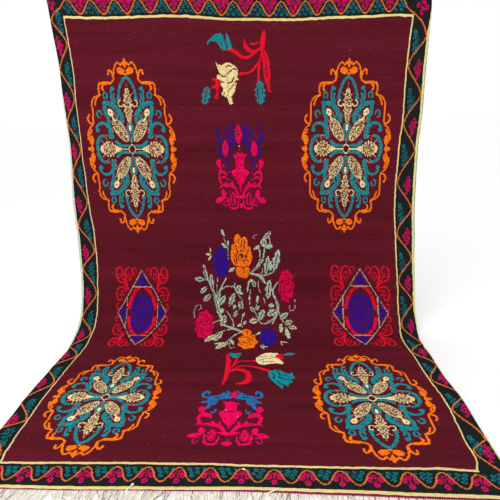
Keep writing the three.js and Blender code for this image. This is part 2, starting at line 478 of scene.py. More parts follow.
def make_ground_wool():
    """Wool spun by hand and woven weft-faced: the maroon field, and the black border with its cream
    stripes as its own wefts. Ribs run across it, one for each pair of wefts."""
    material, tree, shader = new_wool("handspun_wool_ground_weave")
    place = add_node(tree, "ShaderNodeAttribute", attribute_name="cloth_place").outputs["Vector"]
    stripe, in_border = border_colour(tree, place)
    ground = add_node(tree, "ShaderNodeMix", {MIX_FACTOR: in_border, MIX_A: field_colour(tree, place),
                                              MIX_B: stripe}, data_type="RGBA")
    # Ribs every 7 mm, about twice the real 3.5 mm, so that they show in the render
    ribs_place = add_node(tree, "ShaderNodeMapping", {0: place, "Scale": (2.2, 143, 1)})
    ribs = add_node(tree, "ShaderNodeTexNoise", {"Vector": ribs_place.outputs[0], "Scale": 1.0,
                                                 "Detail": 3.0, "Roughness": 0.6})
    # The yarn is uneven, a few millimetres thick and a few centimetres long in each shade
    slubs_place = add_node(tree, "ShaderNodeMapping", {0: place, "Scale": (34, 120, 1)})
    slubs = add_node(tree, "ShaderNodeTexNoise", {"Vector": slubs_place.outputs[0], "Scale": 1.0,
                                                  "Detail": 2.0})
    # The colour is multiplied by both: painted shade in the low parts of the ribs, and the yarn's own
    # unevenness from the slubs
    both = add_node(tree, "ShaderNodeMath", {0: ribs.outputs[0], 1: slubs.outputs[0]}, operation="ADD")
    shade = add_node(tree, "ShaderNodeMapRange", {0: both.outputs[0], 1: 0.6, 2: 1.4, 3: 0.8, 4: 1.2})
    colour = add_node(tree, "ShaderNodeMix", {MIX_FACTOR: 1.0, MIX_A: ground.outputs[MIX_RESULT],
                                              MIX_B: shade.outputs[0]}, data_type="RGBA",
                      blend_type="MULTIPLY")
    tree.links.new(colour.outputs[MIX_RESULT], shader.inputs["Base Color"])
    bump = add_node(tree, "ShaderNodeBump", {"Height": ribs.outputs[0], "Strength": 0.5, "Distance": 0.002})
    tree.links.new(bump.outputs[0], shader.inputs["Normal"])
    return material


def make_brocade_wool(name, code):
    """Soft two-ply wool laid in over the ground by hand: each float has its own shade and a twist."""
    material, tree, shader = new_wool(f"laid_in_wool_{name}")
    place = add_node(tree, "ShaderNodeAttribute", attribute_name="cloth_place").outputs["Vector"]
    float_shade = add_node(tree, "ShaderNodeAttribute", attribute_name="float_shade").outputs["Fac"]
    # The twist of the ply crosses each float every 4 mm
    twist_place = add_node(tree, "ShaderNodeMapping", {0: place, "Scale": (250, 140, 1)})
    twist = add_node(tree, "ShaderNodeTexNoise", {"Vector": twist_place.outputs[0], "Scale": 1.0,
                                                  "Detail": 2.0})
    # The twist also darkens the colour where it is low: painted shade in the grooves of the ply, on top of
    # each float's own shade
    shade = add_node(tree, "ShaderNodeMapRange", {0: twist.outputs[0], 1: 0.2, 2: 0.8, 3: -0.12, 4: 0.12})
    both = add_node(tree, "ShaderNodeMath", {0: float_shade, 1: shade.outputs[0]}, operation="ADD")
    colour = add_node(tree, "ShaderNodeMix", {MIX_FACTOR: 1.0, MIX_A: linear_colour(code),
                                              MIX_B: both.outputs[0]}, data_type="RGBA",
                      blend_type="MULTIPLY")
    tree.links.new(colour.outputs[MIX_RESULT], shader.inputs["Base Color"])
    bump = add_node(tree, "ShaderNodeBump", {"Height": twist.outputs[0], "Strength": 0.4,
                                             "Distance": 0.001})
    tree.links.new(bump.outputs[0], shader.inputs["Normal"])
    return material


def make_piece(name, points, faces, material, attributes=None):
    """Puts points in mm and blocks of faces into a mesh at the origin that rides with the rug. Each
    attribute is an array with a value, or a vector, for every point."""
    mesh = bpy.data.meshes.new(name)
    corners = [face for block in faces for face in block.tolist()]
    mesh.from_pydata((points * MM).tolist(), [], corners)
    for title, values in (attributes or {}).items():
        is_vector = values.ndim == 2
        kind = "FLOAT_VECTOR" if is_vector else "FLOAT"
        layer = mesh.attributes.new(title, kind, "POINT")
        layer.data.foreach_set("vector" if is_vector else "value", values.astype(np.float32).ravel())
    mesh.polygons.foreach_set("use_smooth", np.ones(len(mesh.polygons), bool))
    mesh.materials.append(material)
    piece = bpy.data.objects.new(name, mesh)
    bpy.context.collection.objects.link(piece)
    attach(piece, "root")
    return piece


def slab_faces(rows, columns):
    """Faces of a closed slab between two grids: its front, its back turned round, and the rim."""
    front = np.arange(rows * columns).reshape(rows, columns)
    back = front + rows * columns
    def quads(a, b, c, d):
        return np.stack([a, b, c, d], -1).reshape(-1, 4)
    return [
        quads(front[:-1, :-1], front[1:, :-1], front[1:, 1:], front[:-1, 1:]),
        quads(back[:-1, :-1], back[:-1, 1:], back[1:, 1:], back[1:, :-1]),
        quads(front[0, :-1], front[0, 1:], back[0, 1:], back[0, :-1]),
        quads(back[-1, :-1], back[-1, 1:], front[-1, 1:], front[-1, :-1]),
        quads(front[:-1, 0], back[:-1, 0], back[1:, 0], front[1:, 0]),
        quads(front[:-1, -1], front[1:, -1], back[1:, -1], back[:-1, -1]),
    ]


def cloth_place(u, v):
    """The place on the flat cloth in metres, as a vector for each point."""
    return np.stack([u, v, np.zeros_like(u)], -1).reshape(-1, 3) * MM


def border_at(side, v):
    """Of the border at a place along a side: how much of it is rolled under, and how much room each
    millimetre of its nominal width has on the face."""
    hidden = from_table(BORDER_ALONG, LEFT_HIDDEN if side < 0 else RIGHT_HIDDEN, v)
    width = from_table(BORDER_ALONG, LEFT_BORDER if side < 0 else RIGHT_BORDER, v)
    return hidden, width / (SIDE_BORDER - hidden)


def foot_border_at(u):
    """Of the border at a place across the lower end: how far in it begins, and how much room each
    millimetre of its nominal width has on the face."""
    rise = from_table(BORDER_ACROSS, FOOT_RISE, u)
    return rise, (from_table(BORDER_ACROSS, FOOT_BORDER, u) - rise) / END_BORDER


def border_place(u, v):
    """Nominal distances from the nearer side and the nearer end, in metres, as a vector for each point."""
    from_edge = HALF_WIDTH - np.abs(u)
    sides = [hidden + from_edge / room for hidden, room in (border_at(-1, v), border_at(1, v))]
    from_side = np.where(u < 0, *sides)
    rise, room = foot_border_at(u)
    from_foot = (CLOTH_LENGTH - v - rise) / room
    return np.stack([from_side, np.minimum(v, from_foot), np.zeros_like(u)], -1).reshape(-1, 3) * MM


def make_slab(name, u, v, material):
    """A closed sheet between its face and its back, on a grid of places: both come together over the
    last millimetres of each side edge by a quarter circle, as a selvedge does."""
    u, v = np.meshgrid(u, v)
    t = np.clip((HALF_WIDTH - np.abs(u)) / SELVEDGE_ROUND, 0, 1)
    tuck = THICKNESS / 2 * (1 - np.sqrt(1 - (1 - t) ** 2)) * SELVEDGE_CLOSING
    front = cloth_point(u, v, tuck)
    back = cloth_point(u, v, THICKNESS - tuck)
    points = np.concatenate([front.reshape(-1, 3), back.reshape(-1, 3)])
    places = {"cloth_place": np.tile(cloth_place(u, v), (2, 1)),
              "border_place": np.tile(border_place(u, v), (2, 1))}
    return make_piece(name, points, slab_faces(*u.shape), material, places)


def make_sheet():
    """The rug itself, from its upper edge to the end band."""
    edge = HALF_WIDTH - np.array(EDGE_COLUMNS)
    middle = np.linspace(-edge[-1], edge[-1], MIDDLE_COLUMNS + 1)[1:-1]
    columns = np.concatenate([-edge, middle, edge[::-1]])
    rows = np.linspace(0, CLOTH_LENGTH, SHEET_ROWS + 1)
    return make_slab("woven_sheet", columns, rows, make_ground_wool())


# The chart: rows run down the rug and columns across it, and each cell holds the number of its yarn
chart = np.zeros((CHART_ROWS, CHART_COLUMNS), dtype=np.uint8)
grain = random.random(chart.shape)
CELL_U = (np.arange(CHART_COLUMNS) + 0.5) * ACROSS - HALF_WIDTH
CELL_V = (np.arange(CHART_ROWS) + 0.5) * ALONG


def window(points, margin):
    """The part of the chart round some points: its slices and the places of its cells."""
    low = np.min(points, axis=0) - margin
    high = np.max(points, axis=0) + margin
    columns = slice(*np.searchsorted(CELL_U, (low[0], high[0])))
    rows = slice(*np.searchsorted(CELL_V, (low[1], high[1])))
    u, v = np.meshgrid(CELL_U[columns], CELL_V[rows])
    return (rows, columns), np.stack([u, v], -1)


def fill(part, inside, yarn):
    """Lays a yarn, or two mixed at random, in the cells that are inside. Bare cells show the ground."""
    first, second, share = yarn if isinstance(yarn, tuple) else (yarn, yarn, 0)
    numbers = np.where(grain[part] < share, YARN_NUMBER.get(second, BARE), YARN_NUMBER.get(first, BARE))
    chart[part] = np.where(inside, numbers, chart[part])


def curve(points, steps=7):
    """A smooth path through its points: on each stretch the cubic whose slopes join its neighbours."""
    points = np.asarray(points, float)
    if len(points) < 3:
        return points
    padded = np.vstack([2 * points[0] - points[1], points, 2 * points[-1] - points[-2]])
    before, start, end, after = padded[:-3], padded[1:-2], padded[2:-1], padded[3:]
    t = np.linspace(0, 1, steps, endpoint=False)[:, None, None]
    path = start + t / 2 * (end - before + t * (2 * before - 5 * start + 4 * end - after
                                                + t * (3 * start - before - 3 * end + after)))
    return np.vstack([path.transpose(1, 0, 2).reshape(-1, 2), points[-1:]])


def draw_line(points, width, yarn):
    """Fills the cells nearer to a path than half its width, which may change from end to end."""
    half = np.interp(np.linspace(0, 1, len(points)), np.linspace(0, 1, np.size(width)), np.ravel(width)) / 2
    part, cells = window(points, half.max())
    start, along = points[:-1], np.diff(points, axis=0)
    offset = cells[..., None, :] - start
    t = np.clip((offset * along).sum(-1) / np.maximum((along**2).sum(-1), 1e-9), 0, 1)
    distance = np.linalg.norm(offset - t[..., None] * along, axis=-1)
    inside = (distance < half[:-1] + np.diff(half) * t).any(-1)
    fill(part, inside, yarn)


def draw_leaf(base, tip, width, yarn, point=1.0, lean=0.0, rim=None, vein=None, teeth=0):
    """Fills a leaf or petal from base to tip. Its half width is a sine arch raised to the power of
    point, 1 for a sharp leaf and less for a blunt petal, and lean moves its widest place to the tip.
    A rim and a vein are other yarns with their width, and teeth cut into its edge."""
    axis = tip - base
    length = np.linalg.norm(axis)
    part, cells = window(np.stack([base, tip]), width)
    offset = cells - base
    t = (offset @ axis) / length**2
    side = np.abs(offset[..., 0] * axis[1] - offset[..., 1] * axis[0]) / length
    arch = np.sin(math.pi * np.clip(t, 0, 1) ** (1 + lean)) ** point
    half = width / 2 * arch * (1 - TOOTH_DEPTH * (teeth > 0) * (1 + np.cos(2 * math.pi * teeth * t)))
    inside = (side < half) & (t > 0) & (t < 1)
    fill(part, inside, yarn)
    if rim:
        fill(part, inside & (half - side < rim[1]), rim[0])
    if vein:
        fill(part, inside & (side < vein[1] / 2) & (t > VEIN_START) & (t < VEIN_END), vein[0])


def draw_oval(middle, half, yarn):
    """Fills an ellipse."""
    part, cells = window(np.stack([middle - half, middle + half]), 0)
    fill(part, (((cells - middle) / half) ** 2).sum(-1) < 1, yarn)


def draw_patch(outline, yarn):
    """Fills a closed outline: a cell is inside if a line from it crosses the outline an odd number of
    times."""
    part, cells = window(outline, 0)
    start, end = outline, np.roll(outline, -1, axis=0)
    u, v = cells[..., 0, None], cells[..., 1, None]
    spans = (start[:, 1] > v) != (end[:, 1] > v)
    rise = np.where(end[:, 1] == start[:, 1], 1, end[:, 1] - start[:, 1])
    crossing = start[:, 0] + (v - start[:, 1]) / rise * (end[:, 0] - start[:, 0])
    fill(part, (spans & (u < crossing)).sum(-1) % 2 == 1, yarn)


ONCE = ((1, 1),)
LEFT_RIGHT = ((1, 1), (-1, 1))
UP_DOWN = ((1, 1), (1, -1))
FOUR_WAYS = ((1, 1), (-1, 1), (1, -1), (-1, -1))


class Motif:
    """A place on the cloth to draw at: its middle and half sizes in mm. Points are in half sizes, x to
    the right and y up, and each shape is repeated for every way that it is mirrored."""

    def __init__(self, middle, half, mirrors=ONCE):
        self.middle = np.array(middle, float)
        self.scale = np.array([half[0], -half[1]], float)
        self.mirrors = mirrors

    def copies(self, points):
        """The points on the cloth, once for each mirror."""
        return [self.middle + np.asarray(points, float) * self.scale * mirror for mirror in self.mirrors]

    def line(self, points, width, yarn, smoothed=True):
        for path in self.copies(points):
            draw_line(curve(path) if smoothed else path, width, yarn)

    def leaf(self, base, tip, width, yarn, **form):
        for ends in self.copies([base, tip]):
            draw_leaf(ends[0], ends[1], width, yarn, **form)

    def oval(self, middle, half, yarn):
        for place in self.copies(middle):
            draw_oval(place, np.asarray(half) * np.abs(self.scale), yarn)

    def patch(self, outline, yarn):
        for path in self.copies(outline):
            draw_patch(path, yarn)

    def turned(self, mirrors):
        """The same place with other mirrors."""
        return Motif(self.middle, np.abs(self.scale), mirrors)


def draw_medallion(middle, half):
    """An upright oval medallion, the same in all four quarters: an orange scrolled frame, teal
    arabesques inside it, and eight speckled cream petals round a small diamond."""
    quarter = Motif(middle, half, FOUR_WAYS)
    upright = quarter.turned(UP_DOWN)
    level = quarter.turned(LEFT_RIGHT)
    # The frame
    quarter.line([(0.05, 0.955), (0.09, 0.925), (0.15, 0.955), (0.22, 0.915), (0.26, 0.84), (0.27, 0.775),
                  (0.35, 0.735)], 8, "orange")
    quarter.line([(0.35, 0.735), (0.44, 0.735), (0.53, 0.735)], [10, 17, 13], FLECKED_ORANGE)
    quarter.line([(0.53, 0.735), (0.6, 0.725), (0.625, 0.67), (0.61, 0.6), (0.69, 0.592), (0.755, 0.565),
                  (0.8, 0.51), (0.795, 0.43), (0.805, 0.34), (0.82, 0.28), (0.91, 0.235), (0.965, 0.16),
                  (0.97, 0.11)], [12, 8, 7, 8, 7, 10], "orange")
    quarter.line([(0.27, 0.79), (0.3, 0.85), (0.36, 0.875), (0.385, 0.83)], 9, "orange")
    quarter.line([(0.5, 0.72), (0.54, 0.69), (0.52, 0.655)], 9, "orange")
    quarter.line([(0.62, 0.61), (0.7, 0.555), (0.73, 0.5)], 8, "orange")
    quarter.line([(0.83, 0.285), (0.9, 0.3), (0.925, 0.345), (0.885, 0.385)], 9, "orange")
    quarter.line([(0.955, 0.15), (0.89, 0.19), (0.88, 0.22)], 8, "orange")
    upright.leaf((0, 0.89), (0, 1.0), 18, "orange", point=0.8)
    quarter.leaf((0.01, 0.865), (0.19, 0.87), 33, FLECKED_ORANGE, point=0.6, lean=0.4)
    quarter.oval((0.08, 0.84), (0.05, 0.014), "orange")
    upright.oval((0, 0.83), (0.035, 0.012), "orange")
    quarter.oval((0.9, 0.1), (0.055, 0.055), FLECKED_ORANGE)
    level.oval((0.93, 0), (0.07, 0.024), "orange")
    level.leaf((0.93, 0), (1.0, 0), 20, "orange")
    level.oval((0.905, 0), (0.03, 0.045), "orange")
    # The teal arabesques
    quarter.oval((0.19, 0.565), (0.045, 0.026), "teal")
    quarter.line([(0.19, 0.565), (0.185, 0.62), (0.15, 0.69), (0.09, 0.755), (0.03, 0.79), (0, 0.795)],
                 [11, 13, 15], FLECKED_TEAL)
    quarter.line([(0.33, 0.47), (0.34, 0.54), (0.365, 0.6), (0.35, 0.66)], [10, 8, 8], "teal")
    quarter.oval((0.32, 0.675), (0.045, 0.024), "teal")
    quarter.line([(0.27, 0.53), (0.31, 0.58), (0.29, 0.62)], 8, "teal")
    quarter.line([(0.46, 0.57), (0.44, 0.61), (0.48, 0.635), (0.53, 0.61), (0.51, 0.57)], 7, "teal")
    quarter.line([(0.6, 0.39), (0.63, 0.43), (0.69, 0.42), (0.7, 0.375), (0.65, 0.355)], 7, "teal")
    quarter.line([(0.32, 0.5), (0.42, 0.512), (0.53, 0.518)], [22, 26, 20], FLECKED_TEAL, smoothed=False)
    quarter.line([(0.52, 0.51), (0.515, 0.42), (0.47, 0.35), (0.46, 0.24), (0.43, 0.14)],
                 [16, 18, 15, 19, 24], FLECKED_TEAL)
    quarter.line([(0.33, 0.495), (0.27, 0.46), (0.2, 0.42), (0.15, 0.37), (0.165, 0.31)], [26, 24, 19, 22],
                 FLECKED_TEAL)
    quarter.line([(0.21, 0.4), (0.26, 0.36), (0.25, 0.31)], [12, 10, 7], "teal")
    quarter.line([(0.48, 0.25), (0.56, 0.29), (0.66, 0.29), (0.74, 0.255), (0.74, 0.21)], [16, 12, 11],
                 "teal")
    quarter.oval((0.735, 0.215), (0.045, 0.024), "teal")
    quarter.line([(0.57, 0.15), (0.66, 0.145), (0.735, 0.105), (0.775, 0.05), (0.78, -0.01)], [13, 17, 16],
                 FLECKED_TEAL)
    quarter.line([(0.08, 0.04), (0.16, 0.035), (0.26, 0.045), (0.34, 0.085)], [9, 17, 14], "teal")
    quarter.line([(0.035, 0.29), (0.06, 0.24), (0.05, 0.17), (0.025, 0.09)], [8, 10, 6], "teal")
    # The cream petals, with rosy tendrils at their ends
    upright.leaf((0, 0.29), (0, 0.69), 45, SPECKLED, point=0.65, rim=("cream", 3), teeth=7)
    upright.leaf((0, 0.65), (0, 0.74), 8, ROSY, point=0.6)
    upright.leaf((0, 0.2), (0, 0.285), 15, "pale_cream", point=0.7)
    quarter.leaf((0.085, 0.085), (0.355, 0.345), 52, SPECKLED, point=0.5, lean=0.1, rim=("cream", 3))
    quarter.line([(0.33, 0.32), (0.38, 0.38)], 6, "cream")
    quarter.leaf((0.37, 0.37), (0.435, 0.455), 27, "pale_cream", point=0.6)
    quarter.oval((0.41, 0.415), (0.02, 0.01), "brown")
    quarter.line([(0.36, 0.41), (0.31, 0.405), (0.29, 0.37)], 5, ROSY)
    quarter.line([(0.42, 0.37), (0.42, 0.33), (0.38, 0.3)], 5, ROSY)
    quarter.line([(0.38, 0.25), (0.41, 0.22), (0.38, 0.19)], 6, ROSY)
    quarter.line([(0.1, 0.505), (0.14, 0.48), (0.2, 0.495), (0.195, 0.54), (0.15, 0.545)], 4.5, "cream")
    quarter.line([(0.08, 0.6), (0.12, 0.625)], 5, ROSY)
    level.line([(0.05, 0), (0.34, 0)], 6.5, "pale_cream", smoothed=False)
    level.patch([(0.2, 0), (0.35, 0.04), (0.35, -0.04)], "cream")
    level.leaf((0.34, 0), (0.72, 0), 84, "cream", point=0.6, lean=-0.1, teeth=6)
    level.oval((0.51, 0), (0.14, 0.075), SPECKLED)
    quarter.line([(0.47, 0.125), (0.52, 0.155), (0.57, 0.14), (0.55, 0.115)], 6.5, ROSY)
    quarter.leaf((0.62, 0.06), (0.69, 0.105), 9, ROSY)
    upright.line([(0, 0.07), (0, 0.2)], 3.5, ROSY, smoothed=False)
    level.leaf((-0.085, 0), (0.085, 0), 52, "pale_cream", point=0.9)
    quarter.turned(ONCE).leaf((-0.07, 0), (0.07, 0), 40, "maroon", point=0.9)


def draw_medallions():
    """The four medallions, each at its own place and size, as they are woven by hand."""
    draw_medallion((-570, 765), (230, 447))
    draw_medallion((530, 755), (227, 440))
    draw_medallion((-559, 2421), (225, 409))
    draw_medallion((538, 2405), (237, 422))


def draw_panel(middle, half):
    """A panel of red scrollwork round a diamond: purple corners cut off by pale lines, and a purple
    oval inside a ring of eight red leaves."""
    quarter = Motif(middle, half, FOUR_WAYS)
    upright = quarter.turned(UP_DOWN)
    level = quarter.turned(LEFT_RIGHT)
    whole = quarter.turned(ONCE)
    quarter.line([(0.19, 0.87), (0.23, 0.96), (0.31, 0.96), (0.34, 0.88), (0.27, 0.83)], 5, FLECKED_RED)
    quarter.line([(0.34, 0.78), (0.38, 0.93), (0.51, 0.98), (0.63, 0.88), (0.62, 0.7), (0.55, 0.52)],
                 [6, 7, 9, 10, 8], FLECKED_RED)
    quarter.line([(0.43, 0.72), (0.46, 0.84), (0.53, 0.84), (0.54, 0.74), (0.48, 0.68)], 5, FLECKED_RED)
    quarter.line([(0.57, 0.52), (0.7, 0.64), (0.87, 0.67), (0.97, 0.78), (0.95, 0.93), (0.82, 0.98),
                  (0.73, 0.9), (0.78, 0.81), (0.86, 0.83)], [8, 10, 10, 9, 7, 6], FLECKED_RED)
    quarter.leaf((0.6, 0.58), (0.7, 0.86), 10, FLECKED_RED)
    quarter.line([(0.66, 0.58), (0.78, 0.76), (0.88, 0.76)], 6, FLECKED_RED)
    quarter.line([(0.6, 0.48), (0.76, 0.55), (0.92, 0.52), (0.99, 0.4), (0.93, 0.27), (0.82, 0.28),
                  (0.82, 0.37), (0.89, 0.39)], [8, 9, 8, 7, 6], FLECKED_RED)
    quarter.line([(0.66, 0.45), (0.78, 0.46), (0.84, 0.44)], 6, FLECKED_RED)
    quarter.line([(0.7, 0.36), (0.77, 0.41)], 8, FLECKED_RED)
    quarter.line([(0.89, 0.18), (0.96, 0.19), (0.99, 0.11), (0.93, 0.06), (0.9, 0.11)], 6, FLECKED_RED)
    turn = np.linspace(0, 2 * math.pi, 60)
    ring = np.stack([0.5 * np.cos(turn), 0.56 * np.sin(turn)], -1)
    whole.line(ring, 18, "red", smoothed=False)
    upright.line([(0, 0.42), (0, 0.7)], 18, "bare", smoothed=False)
    level.line([(0.42, 0), (0.68, 0)], 40, "bare", smoothed=False)
    quarter.line([(0.34, 0.36), (0.44, 0.46)], 5.5, "bare", smoothed=False)
    quarter.line([(0.17, 0.5), (0.3, 0.53)], 4, "bare", smoothed=False)
    oval = Motif(np.add(middle, (0, 8)), half, FOUR_WAYS)
    core = oval.turned(ONCE)
    core.oval((0, 0), (0.39, 0.43), "purple")
    oval.oval((0.2, 0.29), (0.12, 0.12), "purple")
    oval.oval((0.31, 0.15), (0.1, 0.14), "purple")
    core.oval((0, 0), (0.34, 0.36), SPOTTED_PURPLE)
    core.oval((0, 0), (0.12, 0.12), "purple")
    oval.line([(0.14, 0.29), (0.22, 0.35)], 4.5, "maroon")
    upright.patch([(0, 0.84), (-0.21, 0.6), (0.21, 0.6)], "purple")
    level.patch([(0.88, 0), (0.64, 0.17), (0.64, -0.17)], "purple")
    quarter.line([(0, 0.92), (0.93, 0)], 5.5, BROKEN_PALE, smoothed=False)
    upright.line([(-0.36, 0.56), (0.36, 0.56)], 5.5, BROKEN_PALE, smoothed=False)
    level.line([(0.59, 0.34), (0.59, -0.34)], 5, BROKEN_PALE, smoothed=False)


def draw_upper_tulips():
    """A teal tulip, a cream tulip and two buds that hang from one red stem with long leaves."""
    spray = Motif((0, 380), (1, 1))
    spray.line([(-55, 110), (-25, 99), (5, 77), (35, 70), (60, 84), (95, 108), (110, 124)],
               [18, 18, 14, 12, 9, 8], "red")
    spray.leaf((106, 94), (120, 198), 25, "red", point=0.45)
    spray.line([(22, 152), (30, 122), (50, 102), (78, 98)], [8, 20, 22, 8], FLECKED_RED)
    spray.line([(92, 142), (70, 133), (50, 137)], [5, 11, 6], "red")
    spray.line([(98, 114), (70, 98)], 9, "red")
    spray.line([(110, 98), (117, 60), (122, 0), (128, -50)], [10, 16, 18, 12], FLECKED_RED)
    spray.line([(121, 102), (134, 60), (139, 0), (137, -50), (140, -84), (152, -96)],
               [8, 14, 16, 16, 12, 4], "red")
    spray.line([(127, 60), (130, 20), (131, -20)], 3.5, "bare")
    spray.line([(108, 100), (97, 60), (70, 20), (45, 0), (0, -6)], [6, 8, 13, 9, 17], "red")
    spray.line([(97, 60), (91, 10), (91, -48)], [8, 14, 12], "red")
    flower = Motif((0, 367), (1, 1))
    flower.patch([(-156, 110), (-153, 128), (-130, 148), (-108, 165), (-88, 168), (-76, 158), (-70, 138),
                  (-62, 136), (-66, 162), (-58, 170), (-48, 145), (-40, 122), (-36, 102), (-50, 96),
                  (-64, 92), (-78, 88), (-92, 100), (-102, 118), (-118, 131), (-138, 130), (-148, 116)],
                 "teal")
    flower.line([(-75, 152), (-64, 124), (-58, 98)], 6, "bare")
    flower.line([(-96, 140), (-84, 118), (-80, 100)], 5, ("bare", "teal", 0.3))
    spray = Motif((-5, 375), (1, 1))
    spray.patch([(-114, 40), (-104, 30), (-84, 26), (-66, 40), (-44, 40), (-22, 26), (-8, 12), (-6, -6),
                 (-12, -26), (-4, -38), (-14, -44), (-18, -70), (-26, -100), (-42, -122), (-38, -145),
                 (-36, -158), (-52, -162), (-60, -140), (-66, -122), (-74, -124), (-94, -112), (-82, -96),
                 (-84, -80), (-98, -62), (-108, -45), (-112, -22), (-98, -14), (-104, 8)], "cream")
    spray.line([(-62, -18), (-44, 0), (-24, 12), (-12, 8)], 6, DASHED)
    spray.line([(-98, -14), (-84, -24), (-68, -26)], 7, "bare")
    spray.line([(-56, -56), (-40, -52), (-26, -28)], 6.5, "bare")
    spray.line([(-60, -102), (-40, -76), (-16, -46)], 6.5, DASHED)
    spray.line([(-94, -48), (-80, -54)], 6.5, "bare")
    spray.line([(-66, 20), (-50, 26), (-36, 22)], 5.5, "bare")
    spray.line([(-76, -104), (-82, -112)], 5, "bare")
    spray.line([(-128, -42), (-104, -54), (-112, -80), (-110, -98), (-118, -128)], [12, 26, 20, 9, 17],
               FLECKED_RED)
    spray.leaf((-112, -66), (-146, -88), 12, "red")
    spray.leaf((-180, -165), (-160, -78), 46, FLECKED_TEAL, point=0.45, vein=("bare", 5), teeth=3)
    spray.leaf((102, -160), (100, -46), 56, FLECKED_TEAL, point=0.45, teeth=4)
    spray.line([(92, -72), (88, -102), (94, -132)], 6, "bare")
    spray.line([(110, -76), (114, -108)], 5, "bare")


def draw_upper_vase():
    """A magenta vase with a crowned neck, on a base with two cups of flowers and scrolled handles.
    Purple leaves rise from it round three magenta buds."""
    pair = Motif((-14, 940), (1, 1), LEFT_RIGHT)
    alone = pair.turned(ONCE)
    pair.line([(103, 298), (112, 262), (109, 228), (93, 216), (70, 236), (50, 244)],
              [12, 17, 22, 18, 10], THIN_PURPLE)
    pair.line([(74, 228), (51, 200), (50, 150), (74, 118), (98, 150), (97, 200), (74, 228)], 10,
              THIN_PURPLE)
    pair.leaf((92, 170), (119, 178), 20, "purple", point=0.6)
    pair.line([(72, 120), (62, 95), (57, 66)], [16, 10, 5], THIN_PURPLE)
    pair.leaf((15, 208), (38, 314), 30, THIN_PURPLE, point=0.7, teeth=4)
    pair.leaf((20, 215), (72, 284), 32, THIN_PURPLE, point=0.7, teeth=4)
    pair.leaf((14, 220), (15, 298), 15, "purple", teeth=5)
    pair.oval((30, 212), (23, 15), THIN_PURPLE)
    pair.oval((44, 246), (19, 14), THIN_PURPLE)
    alone.leaf((-4, 200), (-6, 314), 48, "bare", point=0.7)
    alone.leaf((-4, 204), (-6, 312), 36, ("magenta", "bare", 0.25), point=0.9)
    alone.line([(-14, 262), (-6, 250), (4, 262)], 4, "bare")
    pair.leaf((74, 134), (74, 230), 44, "bare", point=0.6)
    pair.leaf((74, 138), (74, 226), 33, ("magenta", "bare", 0.2), point=0.75)
    alone.oval((-3, 194), (4, 4), "pale")
    alone.oval((-2, 178), (5, 4), "magenta")
    pair = Motif((-14, 936), (1, 0.95), LEFT_RIGHT)
    alone = pair.turned(ONCE)
    alone.patch([(-38, 158), (-24, 132), (-23, 68), (23, 68), (24, 132), (38, 158), (20, 154), (12, 170),
                 (0, 158), (-12, 170), (-20, 154)], FLECKED_MAGENTA)
    pair.line([(8, 150), (12, 132)], 5, "bare")
    pair.oval((23, 57), (22, 19), "magenta")
    alone.patch([(-42, 50), (0, 66), (42, 50), (25, 16), (8, -12), (0, -52), (-8, -12), (-25, 16)],
                FLECKED_MAGENTA)
    pair.line([(40, 36), (24, 8)], 5, "bare")
    pair.line([(24, 30), (10, 34)], 4.5, "bare")
    pair.oval((109, 109), (13, 21), "magenta")
    pair.line([(107, 95), (102, 74), (110, 45), (109, 16), (94, -12)], [12, 8, 10, 9, 8], "magenta")
    pair.line([(105, 52), (90, 62), (68, 42)], [9, 13, 8], FLECKED_MAGENTA)
    pair.line([(104, 22), (86, 34), (68, 22), (56, 14)], [8, 10, 7, 5], FLECKED_MAGENTA)
    pair.oval((86, 94), (6, 8), "magenta")
    pair.oval((60, 58), (5, 4), "border_magenta")
    pair.line([(107, -26), (90, -12), (73, -16), (42, -16), (22, -42), (12, -70)], [8, 11, 17, 18, 12, 11],
              FLECKED_MAGENTA)
    pair.leaf((70, -12), (76, 6), 12, "magenta")
    pair.leaf((42, -12), (44, 12), 12, "magenta")
    pair.line([(52, -26), (40, -32), (32, -48)], 4.5, "bare")
    alone.line([(-27, -74), (0, -78), (27, -74)], [14, 16, 14], "magenta")
    pair.line([(11, -90), (18, -132), (30, -141), (52, -141), (60, -130), (66, -96), (78, -78)],
              [6, 9, 11, 11, 8, 7, 5], "magenta")
    pair.leaf((42, -130), (42, -48), 35, ("magenta", "bare", 0.3), point=0.6, vein=("bare", 6))
    pair.line([(62, -62), (54, -38), (36, -34)], 4, ("border_magenta", "bare", 0.4))
    alone.leaf((2, -140), (2, -112), 17, "magenta", point=0.6)
    pair.line([(64, -104), (82, -103), (90, -118), (80, -131), (73, -120)], 6, "border_magenta")
    pair.leaf((83, -82), (94, -36), 25, "magenta", point=0.7)
    pair.leaf((80, -78), (132, -108), 31, "magenta", point=0.6, lean=0.5)


